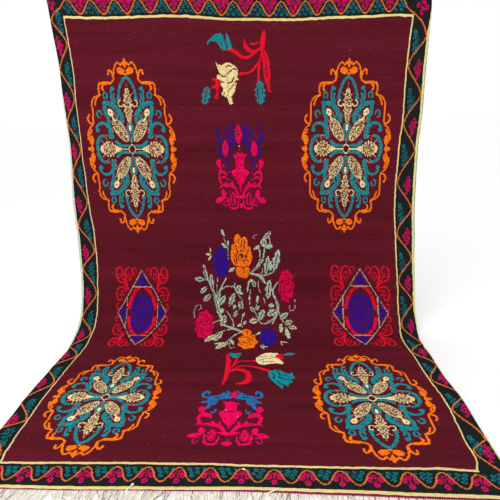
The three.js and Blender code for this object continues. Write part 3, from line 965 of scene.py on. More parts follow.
def draw_lower_vase():
    """A wider magenta vase on the same plan, with blue scrolls that carry a blue blossom at each end."""
    pair = Motif((-31, 2545), (1, 1.05), LEFT_RIGHT)
    alone = pair.turned(ONCE)
    pair.line([(100, 154), (98, 166), (107, 173), (119, 160), (123, 140), (115, 126), (94, 130), (70, 137),
               (33, 137)], [7, 9, 11, 13, 10, 8, 7, 7], "blue")
    pair.line([(69, 118), (40, 120), (8, 127)], [8, 12, 12], "blue")
    pair.leaf((10, 126), (44, 166), 26, "blue", teeth=3)
    pair.leaf((8, 128), (24, 184), 18, FLECKED_BLUE)
    pair.leaf((12, 130), (58, 150), 16, "blue")
    pair.oval((80, 98), (23, 31), FLECKED_BLUE)
    pair.line([(96, 112), (84, 124), (68, 114), (60, 96)], 5, "blue")
    pair.line([(90, 92), (80, 84), (70, 92)], 4, "bare")
    pair.line([(92, 108), (80, 102)], 4, "bare")
    pair.leaf((94, 98), (127, 84), 13, "blue")
    pair.leaf((88, 74), (96, 36), 15, "blue")
    pair.line([(60, 34), (62, 18), (69, 9), (76, 18)], 6, "blue")
    alone.leaf((6, 120), (9, 182), 38, "bare", point=0.8)
    alone.leaf((6, 124), (9, 178), 29, FLECKED_MAGENTA, point=0.8)
    pair = Motif((-31, 2557), (1, 1.06), LEFT_RIGHT)
    alone = pair.turned(ONCE)
    alone.patch([(-36, 106), (-25, 80), (-23, 36), (23, 36), (25, 80), (36, 92), (16, 98), (0, 106),
                 (-14, 100)], FLECKED_MAGENTA)
    alone.patch([(-22, 38), (-40, 36), (-47, 14), (-36, -6), (-22, -42), (-8, -60), (0, -87), (8, -60),
                 (22, -42), (36, -6), (47, 14), (40, 34), (22, 36)], FLECKED_MAGENTA)
    alone.line([(-24, 34), (26, 30)], 5.5, "bare")
    pair.line([(74, -50), (62, -60), (40, -66), (28, -84)], 5, "bare")
    alone.oval((-19, 43), (3, 4), "pale")
    alone.oval((30, -3), (3, 4), "pale")
    pair.oval((115, 46), (15, 20), "magenta")
    pair.line([(112, 32), (108, 18), (117, 0), (121, -25), (113, -44), (122, -58)], [15, 12, 16, 14, 9],
              FLECKED_MAGENTA)
    pair.line([(114, 2), (98, 8), (84, 2), (72, -14)], [20, 30, 24, 8], FLECKED_MAGENTA)
    pair.line([(122, -57), (92, -55), (62, -58), (36, -68), (18, -95), (12, -110)], [9, 14, 24, 22, 14, 12],
              FLECKED_MAGENTA)
    pair.leaf((60, -52), (69, -32), 12, "magenta")
    pair.leaf((34, -60), (40, -32), 11, "magenta")
    alone.line([(-38, -108), (0, -116), (38, -108)], [9, 19, 19, 9], "magenta")
    pair.line([(86, -120), (84, -150), (76, -172), (46, -176), (35, -150), (32, -132)],
              [9, 10, 13, 12, 8, 6], FLECKED_MAGENTA)
    pair.leaf((60, -160), (60, -88), 38, ("magenta", "bare", 0.3), point=0.5, teeth=5)
    alone.leaf((-21, -172), (21, -172), 28, "magenta")
    alone.line([(0, -144), (0, -166)], 5, "border_magenta")
    pair.leaf((90, -112), (150, -134), 28, "magenta", point=0.7, lean=0.5)
    pair.leaf((95, -116), (104, -76), 26, "magenta", point=0.7)
    pair.line([(98, -140), (116, -140), (126, -160), (116, -173), (107, -158)], 6, "border_magenta")


def draw_lower_tulips():
    """A cream tulip and a teal one on red stems, with a tall red blade and a leaf that hooks under."""
    spray = Motif((70, 2100), (1, 1))
    spray.line([(-150, -200), (-140, -120), (-138, -40), (-140, 40), (-152, 112)],
               [8, 20, 24, 24, 6], "red")
    spray.line([(-98, 72), (-108, 20), (-114, -20)], [12, 12, 8], "red")
    spray.line([(-136, -60), (-105, 0), (-85, 30), (-50, 36), (-8, 38)], [9, 8, 8, 9, 12], "red")
    spray.line([(-126, -74), (-100, -36), (-75, -16), (-40, -18), (0, -32), (30, -50), (64, -76)],
               [10, 9, 10, 14, 20, 22], "red")
    spray.line([(-132, -76), (-100, -58), (-72, -58), (-50, -80), (-39, -116), (-38, -152), (-56, -182),
                (-90, -192)], [16, 22, 27, 29, 29, 31, 28, 12], FLECKED_RED)
    spray.line([(-104, -66), (-70, -80), (-52, -108)], 4, "bare")
    spray.patch([(-142, 130), (-114, 122), (-84, 130), (-80, 108), (-94, 76), (-118, 70), (-132, 84),
                 (-144, 106)], FLECKED_TEAL)
    spray.patch([(-12, 40), (-8, 72), (12, 106), (36, 126), (62, 132), (80, 126), (100, 128), (98, 112),
                 (84, 104), (96, 88), (114, 62), (102, 62), (112, 40), (122, 16), (112, 6), (90, 16),
                 (60, 10), (30, -2), (6, 6)], "pale_cream")
    spray.line([(2, 78), (26, 90), (44, 86)], 6.5, ("bare", "sage", 0.4))
    spray.line([(6, 44), (34, 62), (58, 66)], 6.5, ("sage", "bare", 0.3))
    spray.line([(20, 24), (50, 34), (80, 34)], 6.5, ("sage", "bare", 0.3))
    spray.line([(60, 84), (80, 76), (98, 76)], 6.5, "bare")
    tulip = Motif((79, 2108), (0.92, 0.95))
    tulip.patch([(42, -80), (54, -62), (78, -50), (104, -56), (124, -80), (146, -92), (164, -72),
                 (160, -104), (174, -132), (152, -138), (158, -180), (142, -182), (134, -216),
                 (116, -192), (108, -238), (88, -208), (66, -168), (48, -128)], "teal")
    for lines in ([(60, -80), (72, -106), (70, -140)], [(88, -62), (100, -100), (96, -130)],
                  [(100, -130), (124, -146), (140, -142)], [(84, -160), (104, -190), (112, -200)],
                  [(116, -96), (140, -112)]):
        tulip.line(lines, 6, ("black", "purple", 0.35))
    spray.leaf((82, 90), (126, 112), 27, "red")
    spray.leaf((82, 90), (130, 62), 27, "red")
    spray.leaf((122, 106), (182, 126), 28, FLECKED_TEAL)


def draw_rose(middle, half, yarn, petals, creases=()):
    """A full-blown rose: an oval with a scalloped rim, and short bare creases between its petals. A
    crease is given by its turn round the rose, how far out it is and how far it reaches round."""
    bloom = Motif(middle, half)
    bloom.oval((0, 0), (0.86, 0.9), yarn)
    for turn in 2 * math.pi * np.arange(petals) / petals:
        bloom.oval((0.72 * math.cos(turn), 0.78 * math.sin(turn)), (0.28, 0.22), yarn)
    for turn, out, reach in creases:
        arc = turn + np.linspace(-reach, reach, 5)
        sway = out * (1 + 0.2 * np.sin(3 * (arc - turn)))
        bloom.line(np.stack([sway * np.cos(arc), sway * np.sin(arc)], -1), 5, "bare")


# The creases of a rose: the turn of each, how far out it is, and how far it reaches round
ROSE_CREASES = [(0.3, 0.72, 0.3), (1.1, 0.62, 0.35), (1.9, 0.75, 0.25), (2.7, 0.6, 0.35), (3.5, 0.74, 0.3),
                (4.2, 0.6, 0.3), (4.9, 0.76, 0.3), (5.7, 0.62, 0.35), (0.8, 0.36, 0.5), (2.3, 0.38, 0.5),
                (3.9, 0.34, 0.5), (5.3, 0.38, 0.4), (1.5, 0.12, 0.9)]

# The bouquet's leaves: where each starts and where its tip is, from the middle of the bouquet, its
# width, and the yarn of its vein
BOUQUET_LEAVES = [
    (-213, 67, -230, 168, 22, "bare"),
    (-226, 74, -277, 80, 34, "bare"),
    (-213, 39, -249, 0, 32, "bare"),
    (-194, -4, -232, -43, 34, "bare"),
    (-185, 15, -191, 112, 27, "bare"),
    (-153, -62, -118, -10, 38, "bare"),
    (-96, -68, -70, 6, 36, "bare"),
    (-60, 10, -40, 50, 32, "bare"),
    (-58, 12, -24, 2, 26, "mint"),
    (-47, -41, -26, -83, 34, "bare"),
    (-75, -88, -66, -55, 18, "mint"),
    (-74, -136, -57, -94, 24, "bare"),
    (-147, -112, -128, -84, 28, "mint"),
    (-136, -200, -120, -122, 40, "bare"),
    (-160, -239, -212, -278, 46, "bare"),
    (-130, -225, -165, -275, 33, "bare"),
    (-96, -280, -152, -332, 46, "bare"),
    (-112, -284, -166, -294, 18, "mint"),
    (-84, -262, -66, -300, 20, "mint"),
    (-55, -198, -30, -182, 20, "mint"),
    (-24, -192, -10, -156, 13, "mint"),
    (-33, -136, -14, -104, 13, "mint"),
    (138, 132, 164, 260, 44, "bare"),
    (95, 112, 110, 222, 34, "bare"),
    (120, 130, 124, 194, 21, "mint"),
    (64, 280, 36, 256, 18, "mint"),
    (87, 318, 126, 362, 30, "bare"),
    (95, 268, 134, 284, 32, "mint"),
    (104, -24, 116, 84, 42, "bare"),
    (140, -62, 106, -56, 28, "mint"),
    (148, -88, 102, -120, 46, "bare"),
    (168, -140, 208, -104, 36, "bare"),
    (192, -178, 228, -152, 36, "bare"),
    (208, -195, 254, -206, 32, "bare"),
    (196, -204, 212, -260, 30, "mint"),
    (172, -170, 170, -228, 27, "mint"),
    (60, -150, 84, -84, 40, "bare"),
    (38, -102, 12, -70, 24, "bare"),
    (47, -92, 58, -60, 17, "mint"),
    (50, -152, 8, -166, 44, "bare"),
    (47, -44, 54, -6, 21, "mint"),
    (30, 76, 38, 40, 26, "bare"),
    (8, -36, 10, -2, 13, "mint"),
    (40, -240, 72, -224, 17, "mint"),
    (64, -310, 102, -314, 16, "mint"),
    (66, -300, 84, -336, 14, "pale"),
    (160, -276, 204, -282, 14, "pale"),
    (168, -280, 174, -304, 11, "pale"),
    (-116, 324, -131, 372, 20, "mint"),
    (-106, 262, -132, 290, 20, "mint"),
    (-100, 276, -95, 310, 13, "mint"),
    (-96, 124, -66, 150, 21, "mint"),
]

# The bouquet's stems: the points that each passes through, and its widths from end to end
BOUQUET_STEMS = [
    ([(-145, -125), (-160, -65), (-170, -30), (-180, 10), (-205, 70), (-220, 140)], [22, 22, 16, 8, 5]),
    ([(-156, -105), (-150, -5), (-140, 30), (-112, 86)], [20, 13, 9, 8]),
    ([(-142, 22), (-105, 42), (-72, 42), (-66, 60)], [7, 8, 10, 6]),
    ([(-72, 42), (-55, 5), (-32, -30), (-30, -60), (-50, -90)], [7, 6, 5, 5]),
    ([(-165, -40), (-160, 40), (-158, 85)], [7, 5, 4]),
    ([(-145, -125), (-120, -190), (-75, -212), (-30, -226)], [16, 12, 18, 14]),
    ([(-112, -96), (-90, -135), (-76, -170), (-74, -208)], [6, 6, 6, 7]),
    ([(-150, -160), (-170, -168), (-186, -190)], [9, 8, 6]),
    ([(-75, -214), (-120, -222), (-165, -236)], [8, 7, 5]),
    ([(-36, -228), (-70, -245), (-100, -275), (-104, -300)], [8, 9, 6, 5]),
    ([(-88, -270), (-86, -305), (-78, -324), (-60, -316)], [5, 4, 4]),
    ([(-30, -204), (-32, -160), (-22, -120)], [6, 5, 4]),
    ([(15, 116), (45, 108), (70, 96), (92, 62)], [12, 16, 22, 24, 10]),
    ([(62, 102), (76, 120), (80, 142)], [8, 7, 5]),
    ([(72, 104), (104, 110), (138, 130)], [7, 8, 6]),
    ([(20, 122), (52, 150), (78, 190), (90, 250), (92, 285)], [6, 8, 10, 9, 8]),
    ([(34, 142), (62, 180), (66, 230), (62, 278)], [6, 9, 11, 9]),
    ([(155, 68), (131, 18), (148, -30), (156, -70), (148, -118), (126, -176)], [7, 9, 17, 18, 12, 8]),
    ([(150, -60), (164, -110), (178, -150), (208, -192)], [8, 7, 8, 7]),
    ([(196, -180), (196, -220), (206, -250)], [5, 6, 4]),
    ([(36, -96), (54, -146), (74, -176), (108, -168), (134, -138)], [6, 7, 9, 10, 7]),
    ([(100, -170), (108, -150)], [6, 6]),
    ([(40, -80), (48, -44)], [5, 5]),
    ([(-2, 14), (6, 62), (22, 78), (36, 48)], [8, 10, 16, 20]),
    ([(55, 74), (60, 26), (82, -18), (92, -54)], [6, 5, 6, 5]),
    ([(8, -60), (12, 0), (16, 34)], [4, 4, 4]),
    ([(-122, 330), (-112, 300), (-100, 262), (-100, 196)], [4, 5, 5]),
    ([(72, -262), (80, -300)], [6, 6]),
]


# The share of its drawn width that a stem and a leaf of the bouquet is woven with, the width from which
# a stem is laid in close, and the height under which the leaves are paler
STEM_SHARE = 0.8
LEAF_SHARE = 0.95
CLOSE_STEM = 10
LOW_LEAVES = -150

# The bouquet is woven looser towards its lower end: heights from its middle as drawn, and as woven
BOUQUET_DRAWN = np.array([-330, -210, -55, 85, 375])
BOUQUET_WOVEN = np.array([-370, -170, -35, 105, 375])


def as_woven(points):
    """Points of the bouquet, moved from the heights at which they are drawn."""
    points = np.array(points, float)
    points[:, 1] = np.interp(points[:, 1], BOUQUET_DRAWN, BOUQUET_WOVEN)
    return points


def draw_bouquet():
    """A wreath of mint stems and veined leaves that carries six roses."""
    spray = Motif((12, 1555), (1.03, 1))
    for points, widths in BOUQUET_STEMS:
        slender = STEM_SHARE * np.array(widths)
        spray.line(as_woven(points), slender, FLECKED_MINT if slender.max() > CLOSE_STEM else THIN_MINT)
    spray.line(as_woven([(-150, -110), (-165, -50), (-182, 10)]), 4, "bare")
    spray.line(as_woven([(20, 112), (55, 100), (84, 72)]), 4, ("bare", "mint", 0.4))
    spray.line(as_woven([(150, -20), (152, -60), (146, -110)]), 4, ("bare", "mint", 0.3))
    for base_x, base_y, tip_x, tip_y, width, vein in BOUQUET_LEAVES:
        base, tip = as_woven([(base_x, base_y), (tip_x, tip_y)])
        is_low = base_y < LOW_LEAVES
        spray.leaf(base, tip, LEAF_SHARE * width, FLECKED_PALE_MINT if is_low else FLECKED_MINT,
                   point=0.75, vein=(vein, 5.5), teeth=3)
    spray.oval((87, 302), (16, 21), "mint")
    spray.line([(80, 292), (84, 312)], 5, "bare")
    spray.line([(94, 294), (92, 312)], 5, "bare")
    spray.line([(116, 332), (120, 300)], [5, 8], "pale")
    for path in ([(-279, -114), (-283, -80), (-270, -47), (-252, -42), (-245, -60), (-258, -72)],
                 [(244, -2), (247, -42), (230, -66), (215, -56), (221, -36)],
                 [(28, 318), (36, 336), (52, 344)], [(34, 312), (44, 322)]):
        spray.line(path, 5, ("pale", "bare", 0.35))
    for base, tip, width in (((-186, 232), (-217, 236), 13), ((-190, 242), (-193, 272), 9),
                             ((-184, 228), (-205, 200), 10)):
        spray.leaf(base, tip, width, "pale_mint")
    draw_rose((-129, 1363), (46, 87), FLECKED_PURPLE, 9)
    draw_rose((220, 1485), (45, 91), "rose", 9, ROSE_CREASES)
    draw_rose((-219, 1717), (52, 94), "rose", 9, ROSE_CREASES)
    draw_rose((119, 1801), (47, 87), FLECKED_PURPLE, 8)
    tall = Motif((-19, 1327), (0.95, 0.92))
    for base, tip, width in (((-8, 20), (-22, 128), 46), ((12, 30), (20, 114), 40),
                             ((-14, 10), (-48, 68), 44), ((20, 0), (46, 58), 40),
                             ((-30, -60), (-44, 50), 44), ((34, -60), (44, 40), 40),
                             ((0, -80), (0, 40), 84), ((10, -128), (-10, -50), 62),
                             ((18, -132), (24, -50), 46)):
        tall.leaf(base, tip, width, FLECKED_ORANGE, point=0.5)
    for path in ([(-34, 62), (-22, 30), (-28, 0)], [(6, 98), (2, 74), (-4, 50)],
                 [(24, 84), (12, 58), (22, 44)], [(-38, 10), (-26, -24), (-32, -52)],
                 [(38, 30), (28, 0), (38, -30)], [(-12, 24), (4, 34), (20, 22)],
                 [(-14, 10), (-16, -14), (-4, -26)], [(24, 4), (20, -22), (6, -30)],
                 [(-34, -66), (-10, -62), (8, -68), (34, -60)], [(12, -74), (14, -100)],
                 [(-8, 6), (2, 12), (10, 2), (4, -10), (-6, -6)], [(-40, -14), (-36, -40)],
                 [(-18, 96), (-14, 74)], [(20, 74), (16, 96)]):
        tall.line(path, 5, "bare")
    tall.oval((3, 3), (7, 8), "maroon")
    draw_rose((13, 1841), (54, 86), FLECKED_ORANGE, 7)
    low = Motif((9, 1829), (1, 1.5))
    low.oval((-4, 50), (27, 14), FLECKED_ORANGE)
    for path in ([(-30, 18), (-6, 24), (20, 16), (34, -2)], [(-28, -6), (-6, -18), (14, -8)],
                 [(0, 56), (2, 40)], [(-8, 4), (8, 8), (16, -4), (4, -14), (-10, -10), (-16, 2)],
                 [(-44, 4), (-34, -18), (-20, -32)], [(26, -16), (14, -34), (-4, -40)],
                 [(36, 22), (22, 34)], [(-26, 40), (-18, 28)]):
        low.line(path, 5, "bare")


def draw_panels():
    """The two panels of scrollwork at the sides of the bouquet."""
    draw_panel((-562, 1646), (143, 252))
    draw_panel((612, 1624), (156, 258))


def on_side(side, points):
    """Points given by their nominal distance from a side edge and their place along it, on the cloth."""
    points = np.asarray(points, float)
    hidden, room = border_at(side, points[:, 1])
    return np.stack([side * (HALF_WIDTH - (points[:, 0] - hidden) * room), points[:, 1]], -1)


def on_foot(points):
    """Points given by their place across and their nominal place along, near the lower end."""
    points = np.asarray(points, float)
    rise, room = foot_border_at(points[:, 0])
    return np.stack([points[:, 0], CLOTH_LENGTH - rise - (CLOTH_LENGTH - points[:, 1]) * room], -1)


def draw_side_leaves(side, v):
    """A sheaf of teal leaves beside an outer bend of the vine, with a ring-shaped bud at one end: the
    lower end on the left, and the upper end on the right."""
    way = -side
    for base_in, base_on, tip_in, tip_on in [(47, -28, 73, -58), (45, -6, 77, -40), (49, 16, 78, -17),
                                             (58, 33, 78, 11)]:
        base, tip = on_side(side, [(base_in, v + way * base_on), (tip_in, v + way * tip_on)])
        draw_leaf(base, tip, 14, FLECKED_LEAF, point=0.6, vein=("bare", 3.6))
    bud = on_side(side, [(71, v + way * 43)])[0]
    draw_oval(bud, np.array([8.5, 12]), "leaf_teal")
    draw_oval(bud, np.array([3, 5]), "bare")


def draw_side_blossoms(side, v):
    """A spray of magenta blossoms beside an inner bend of the vine."""
    for from_edge, along, across, tall in [(37, -40, 6, 10), (30, -25, 8, 10), (45, -22, 8, 9),
                                           (37, -7, 9, 10), (53, -4, 7, 9), (29, 6, 7, 9), (45, 12, 8, 9),
                                           (36, 24, 8, 9), (43, 38, 7, 9)]:
        draw_oval(on_side(side, [(from_edge, v + along)])[0], np.array([across, tall]), FLECKED_BORDER)


def draw_side_vine(side, bends, from_v):
    """The vine along a side, with leaves on its inner side and blossoms on its outer side."""
    v = bends[:-1, None] + np.diff(bends)[:, None] * VINE_SHARE
    is_inner = np.arange(len(bends) - 1)[:, None] % 2 == 0
    path = np.stack([np.where(is_inner, VINE_OUTWARDS, VINE_INWARDS), v], -1).reshape(-1, 2)
    path = path[(path[:, 1] > from_v) & (path[:, 1] < SIDE_END)]
    inner, outer = bends[::2], bends[1::2]
    for bend in outer[(outer > FIRST_SHEAF) & (outer < LAST_CLUSTER)]:
        draw_side_leaves(side, bend + SHEAF_DROP)
    for bend in inner[(inner > FIRST_SPRAY) & (inner < LAST_CLUSTER)]:
        draw_side_blossoms(side, bend + SPRAY_DROP)
    draw_line(curve(on_side(side, path)), VINE_WIDTH, "vine_orange")


def draw_top_vine():
    """The vine along the upper end: even waves with six leaves under each crest, on the inner side, and
    a cone of blossoms in each trough."""
    crests = TOP_FIRST + TOP_REPEAT * np.arange(TOP_WAVES + 1)
    for crest in crests:
        for across, v, wide, tall in [(0, 78, 9, 9), (-14, 94, 10, 8), (14, 95, 10, 8), (-27, 111, 9, 8),
                                      (0, 111, 9, 8), (27, 112, 8, 8)]:
            if crests[0] - TOP_MARGIN < crest + across < crests[-1] + TOP_MARGIN:
                draw_oval(np.array([crest + across, v]), np.array([wide, tall]), FLECKED_LEAF)
                draw_line(np.array([(crest + across - 5, v + 4), (crest + across + 5, v - 4)]), 3.6, "bare")
    for trough in crests[:-1] + TOP_REPEAT / 2:
        for across, v, wide, tall in [(-22, 58, 14, 14), (22, 58, 14, 14), (0, 66, 13, 13), (-9, 84, 9, 10),
                                      (10, 82, 9, 10), (0, 100, 8, 10)]:
            draw_oval(np.array([trough + across, v]), np.array([wide, tall]), FLECKED_BORDER)
        draw_line(np.array([(trough - 6, 76), (trough, 58)]), 4.5, "bare")
        draw_line(np.array([(trough + 4, 92), (trough - 5, 88)]), 4, "bare")
    u = np.arange(crests[0], crests[-1] + 1, 5.0)
    wave = 0.5 - 0.5 * np.cos(2 * math.pi * (u - crests[0]) / TOP_REPEAT)
    draw_line(np.stack([u, TOP_OUTER + (TOP_INNER - TOP_OUTER) * wave], -1), VINE_WIDTH, "vine_orange")


def foot_place(waves):
    """The place across of a count of waves along the lower end, which grow wider from left to right."""
    return FOOT_MIDDLE + FOOT_REPEAT * waves + FOOT_GROWTH * waves**2


def draw_foot_vine():
    """The vine along the lower end, with leaves in each trough, on the inner side, and a fan of petals
    over three big blossoms under each crest."""
    first, last = FOOT_WAVES
    for trough in foot_place(np.arange(first, last + 1)):
        way = -np.sign(trough)
        for across, v, wide, tall in [(32, 2881, 7, 6), (-16, 2880, 9, 8), (7, 2880, 9, 8),
                                      (-9, 2897, 9, 8), (13, 2899, 8, 8), (-3, 2915, 9, 8)]:
            place = on_foot([(trough + way * across, v)])[0]
            draw_oval(place, np.array([wide, tall]), "leaf_teal")
            slant = np.array([[-wide * 0.5, tall * 0.4], [wide * 0.5, -tall * 0.4]])
            draw_line(place + slant, 3.8, "bare")
    for crest in foot_place(np.arange(first + 0.5, last)):
        for across, v in [(-18, 2916), (18, 2915), (0, 2941)]:
            place = on_foot([(crest + across, v)])[0]
            draw_oval(place, np.array([10, 13]), "border_magenta")
            draw_oval(place, np.array([3, 3.5]), "bare")
        for root, tip in [((-8, 2906), (-19, 2896)), ((-5, 2904), (-8, 2886)), ((5, 2904), (7, 2886)),
                          ((8, 2906), (19, 2894)), ((0, 2928), (0, 2892))]:
            stem = on_foot([(crest + root[0], root[1]), (crest + tip[0], tip[1])])
            draw_line(stem, 4.6, FLECKED_BORDER)
    waves = np.arange(first, last + 0.02, 0.04)
    middle, swing = (FOOT_INNER + FOOT_OUTER) / 2, (FOOT_OUTER - FOOT_INNER) / 2
    rise = np.cos(2 * math.pi * waves)
    flattened = np.sign(rise) * np.abs(rise) ** FOOT_FLATNESS
    draw_line(on_foot(np.stack([foot_place(waves), middle - swing * flattened], -1)), FOOT_VINE_WIDTH,
              "vine_orange")


def draw_border():
    """The vine goes round all four sides, and turns the corners with a step or a plain bend. Magenta
    blossoms fill the upper corners, and one fleck of cream lies by the lower stripe."""
    draw_side_vine(-1, LEFT_BENDS, LEFT_START)
    draw_side_vine(1, RIGHT_BENDS, RIGHT_START)
    draw_top_vine()
    draw_foot_vine()
    for bend in ([(-805, 58), (-821, 68), (-842, 95), (-866, 113), (-887, 134), (-892, 152), (-880, 177),
                  (-856, 213), (-843, 236), (-839, 250)],
                 [(760, 58), (775, 78), (790, 104), (815, 122), (838, 140), (853, 152), (864, 165)],
                 [(-823, 2812), (-820, 2834), (-845, 2875), (-866, 2912), (-866, 2936), (-840, 2945)],
                 [(866, 2865), (872, 2888), (871, 2916), (864, 2938), (852, 2948), (841, 2945)]):
        draw_line(curve(bend), VINE_WIDTH, "vine_orange")
    for u, v, wide, tall in [(-893, 70, 10, 13), (-870, 76, 10, 12), (-880, 96, 9, 11), (-878, 114, 7, 9),
                             (841, 90, 12, 12), (863, 76, 12, 12), (877, 98, 11, 12), (858, 106, 11, 11),
                             (852, 124, 9, 9)]:
        draw_oval(np.array([u, v]), np.array([wide, tall]), FLECKED_BORDER)
    draw_oval(np.array([35, 2882]), np.array([6, 4]), "pale_cream")


def make_brocade():
    """Turns the chart into floats of yarn, and makes one piece of the floats of each colour. A float is
    a run of one yarn along a row, no longer than ten cells. It is a low bar with sloping shoulders, so
    that each row of the brocade stands up as its own rib."""
    rows, columns = chart.shape
    framed = np.zeros((rows, columns + 2), dtype=int)
    framed[:, 1:-1] = chart
    change = framed[:, 1:] != framed[:, :-1]
    change[:, np.arange(columns + 1) % LONGEST_FLOAT == 0] = True
    row, start = np.nonzero(change[:, :-1] & (framed[:, 1:-1] > 0))
    end = np.nonzero(change[:, 1:] & (framed[:, 1:-1] > 0))[1]
    yarn = chart[row, start]
    spread = random.standard_normal(len(row)).clip(-FLOAT_SHADE_LIMIT, FLOAT_SHADE_LIMIT)
    shade = 1 + FLOAT_SHADE_SPREAD * spread
    section = np.array([(-STITCH_FOOT, STITCH_ROOT), (STITCH_SHOULDER, -STITCH_HEIGHT),
                        (1 - STITCH_SHOULDER, -STITCH_HEIGHT), (1 + STITCH_FOOT, STITCH_ROOT)])
    box = np.array([[0, 1, 2, 3], [7, 6, 5, 4], [0, 4, 5, 1], [1, 5, 6, 2], [2, 6, 7, 3], [3, 7, 4, 0]])
    pieces = []
    for name, number in YARN_NUMBER.items():
        chosen = yarn == number
        if not chosen.any():
            continue
        u = np.stack([start[chosen], end[chosen] + 1], -1) * ACROSS - HALF_WIDTH
        u = np.repeat(u, len(section), axis=1).astype(float)
        v = (row[chosen][:, None] + np.tile(section[:, 0], 2)) * ALONG
        depth = np.broadcast_to(np.tile(section[:, 1], 2), v.shape)
        points = cloth_point(u, v, depth).reshape(-1, 3)
        faces = (np.arange(len(u))[:, None, None] * 2 * len(section) + box).reshape(-1, 4)
        shades = np.repeat(shade[chosen], 2 * len(section))
        pieces.append(make_piece(f"brocade_{name}", points, [faces], make_brocade_wool(name, YARNS[name]),
                                 {"cloth_place": cloth_place(u, v), "float_shade": shades}))
    return pieces


def make_band_wool():
    """Hard-spun wool in plum and magenta, twined close to hold the last weft in place."""
    material, tree, shader = new_wool("twined_wool_end_band")
    place = add_node(tree, "ShaderNodeAttribute", attribute_name="cloth_place").outputs["Vector"]
    twine_place = add_node(tree, "ShaderNodeMapping", {0: place, "Scale": (160, 200, 1)})
    twine = add_node(tree, "ShaderNodeTexNoise", {"Vector": twine_place.outputs[0], "Scale": 1.0,
                                                  "Detail": 2.0})
    colour = add_node(tree, "ShaderNodeValToRGB", {0: twine.outputs[0]})
    set_ramp(colour, [(0.35, "#6d1c3c"), (0.5, "#8f1650"), (0.68, "#b3126a")])
    tree.links.new(colour.outputs[0], shader.inputs["Base Color"])
    bump = add_node(tree, "ShaderNodeBump", {"Height": twine.outputs[0], "Strength": 0.6,
                                             "Distance": 0.0015})
    tree.links.new(bump.outputs[0], shader.inputs["Normal"])
    return material


def make_warp_wool():
    """Undyed ivory two-ply warp yarn, its plies rubbed loose; its darkest strands are painted shadow between
    strands.
    """
    material, tree, shader = new_wool("undyed_warp_yarn")
    strand_tone_and_shadow = add_node(tree, "ShaderNodeAttribute", attribute_name="strand_tone_and_shadow").outputs["Fac"]
    colour = add_node(tree, "ShaderNodeValToRGB", {0: strand_tone_and_shadow})
    # The low end of the ramp is painted shadow: strands there show grey-brown, as the shade between strands;
    # the rest vary in ivory at random
    set_ramp(colour, [(0.0, "#84776a"), (0.17, "#dcd0bf"), (0.42, "#f2ebdf"), (1.0, "#fbf7f0")])
    object_place = add_node(tree, "ShaderNodeTexCoord").outputs["Object"]
    fibres = add_node(tree, "ShaderNodeTexNoise", {"Vector": object_place, "Scale": 900.0,
                                                   "Detail": 2.0})
    tree.links.new(colour.outputs[0], shader.inputs["Base Color"])
    bump = add_node(tree, "ShaderNodeBump", {"Height": fibres.outputs[0], "Strength": 0.5,
                                             "Distance": 0.0008})
    tree.links.new(bump.outputs[0], shader.inputs["Normal"])
    return material


def make_band():
    """The end band, parted from the cloth's edge by a hair."""
    columns = np.linspace(-HALF_WIDTH, HALF_WIDTH, BAND_COLUMNS + 1)
    rows = np.linspace(BAND_START, RUG_LENGTH, 4)
    return make_slab("end_band", columns, rows, make_band_wool())


def make_tubes(name, path, radius, shades, material):
    """Round tubes with capped ends along paths: at each step a ring of points, square to the path."""
    steps, count = path.shape[:2]
    ahead = np.gradient(path, axis=0)
    aside = np.stack([-ahead[..., 1], ahead[..., 0], np.zeros((steps, count))], -1)
    aside /= np.linalg.norm(aside, axis=-1, keepdims=True)
    turn = 2 * math.pi * np.arange(YARN_SIDES) / YARN_SIDES
    ring = radius[..., None, None] * (aside[..., None, :] * np.cos(turn)[:, None]
                                      + np.array([0, 0, 1]) * np.sin(turn)[:, None])
    points = (path[..., None, :] + ring).reshape(-1, 3)
    index = np.arange(steps * count * YARN_SIDES).reshape(steps, count, YARN_SIDES)
    beside = np.roll(index, -1, axis=2)
    walls = np.stack([index[:-1], index[1:], beside[1:], beside[:-1]], -1).reshape(-1, 4)
    caps = [index[0], index[-1][:, ::-1]]
    shade = np.broadcast_to(shades[None, :, None], index.shape).ravel()
    return make_piece(name, points, [walls, *caps], material, {"strand_tone_and_shadow": shade})


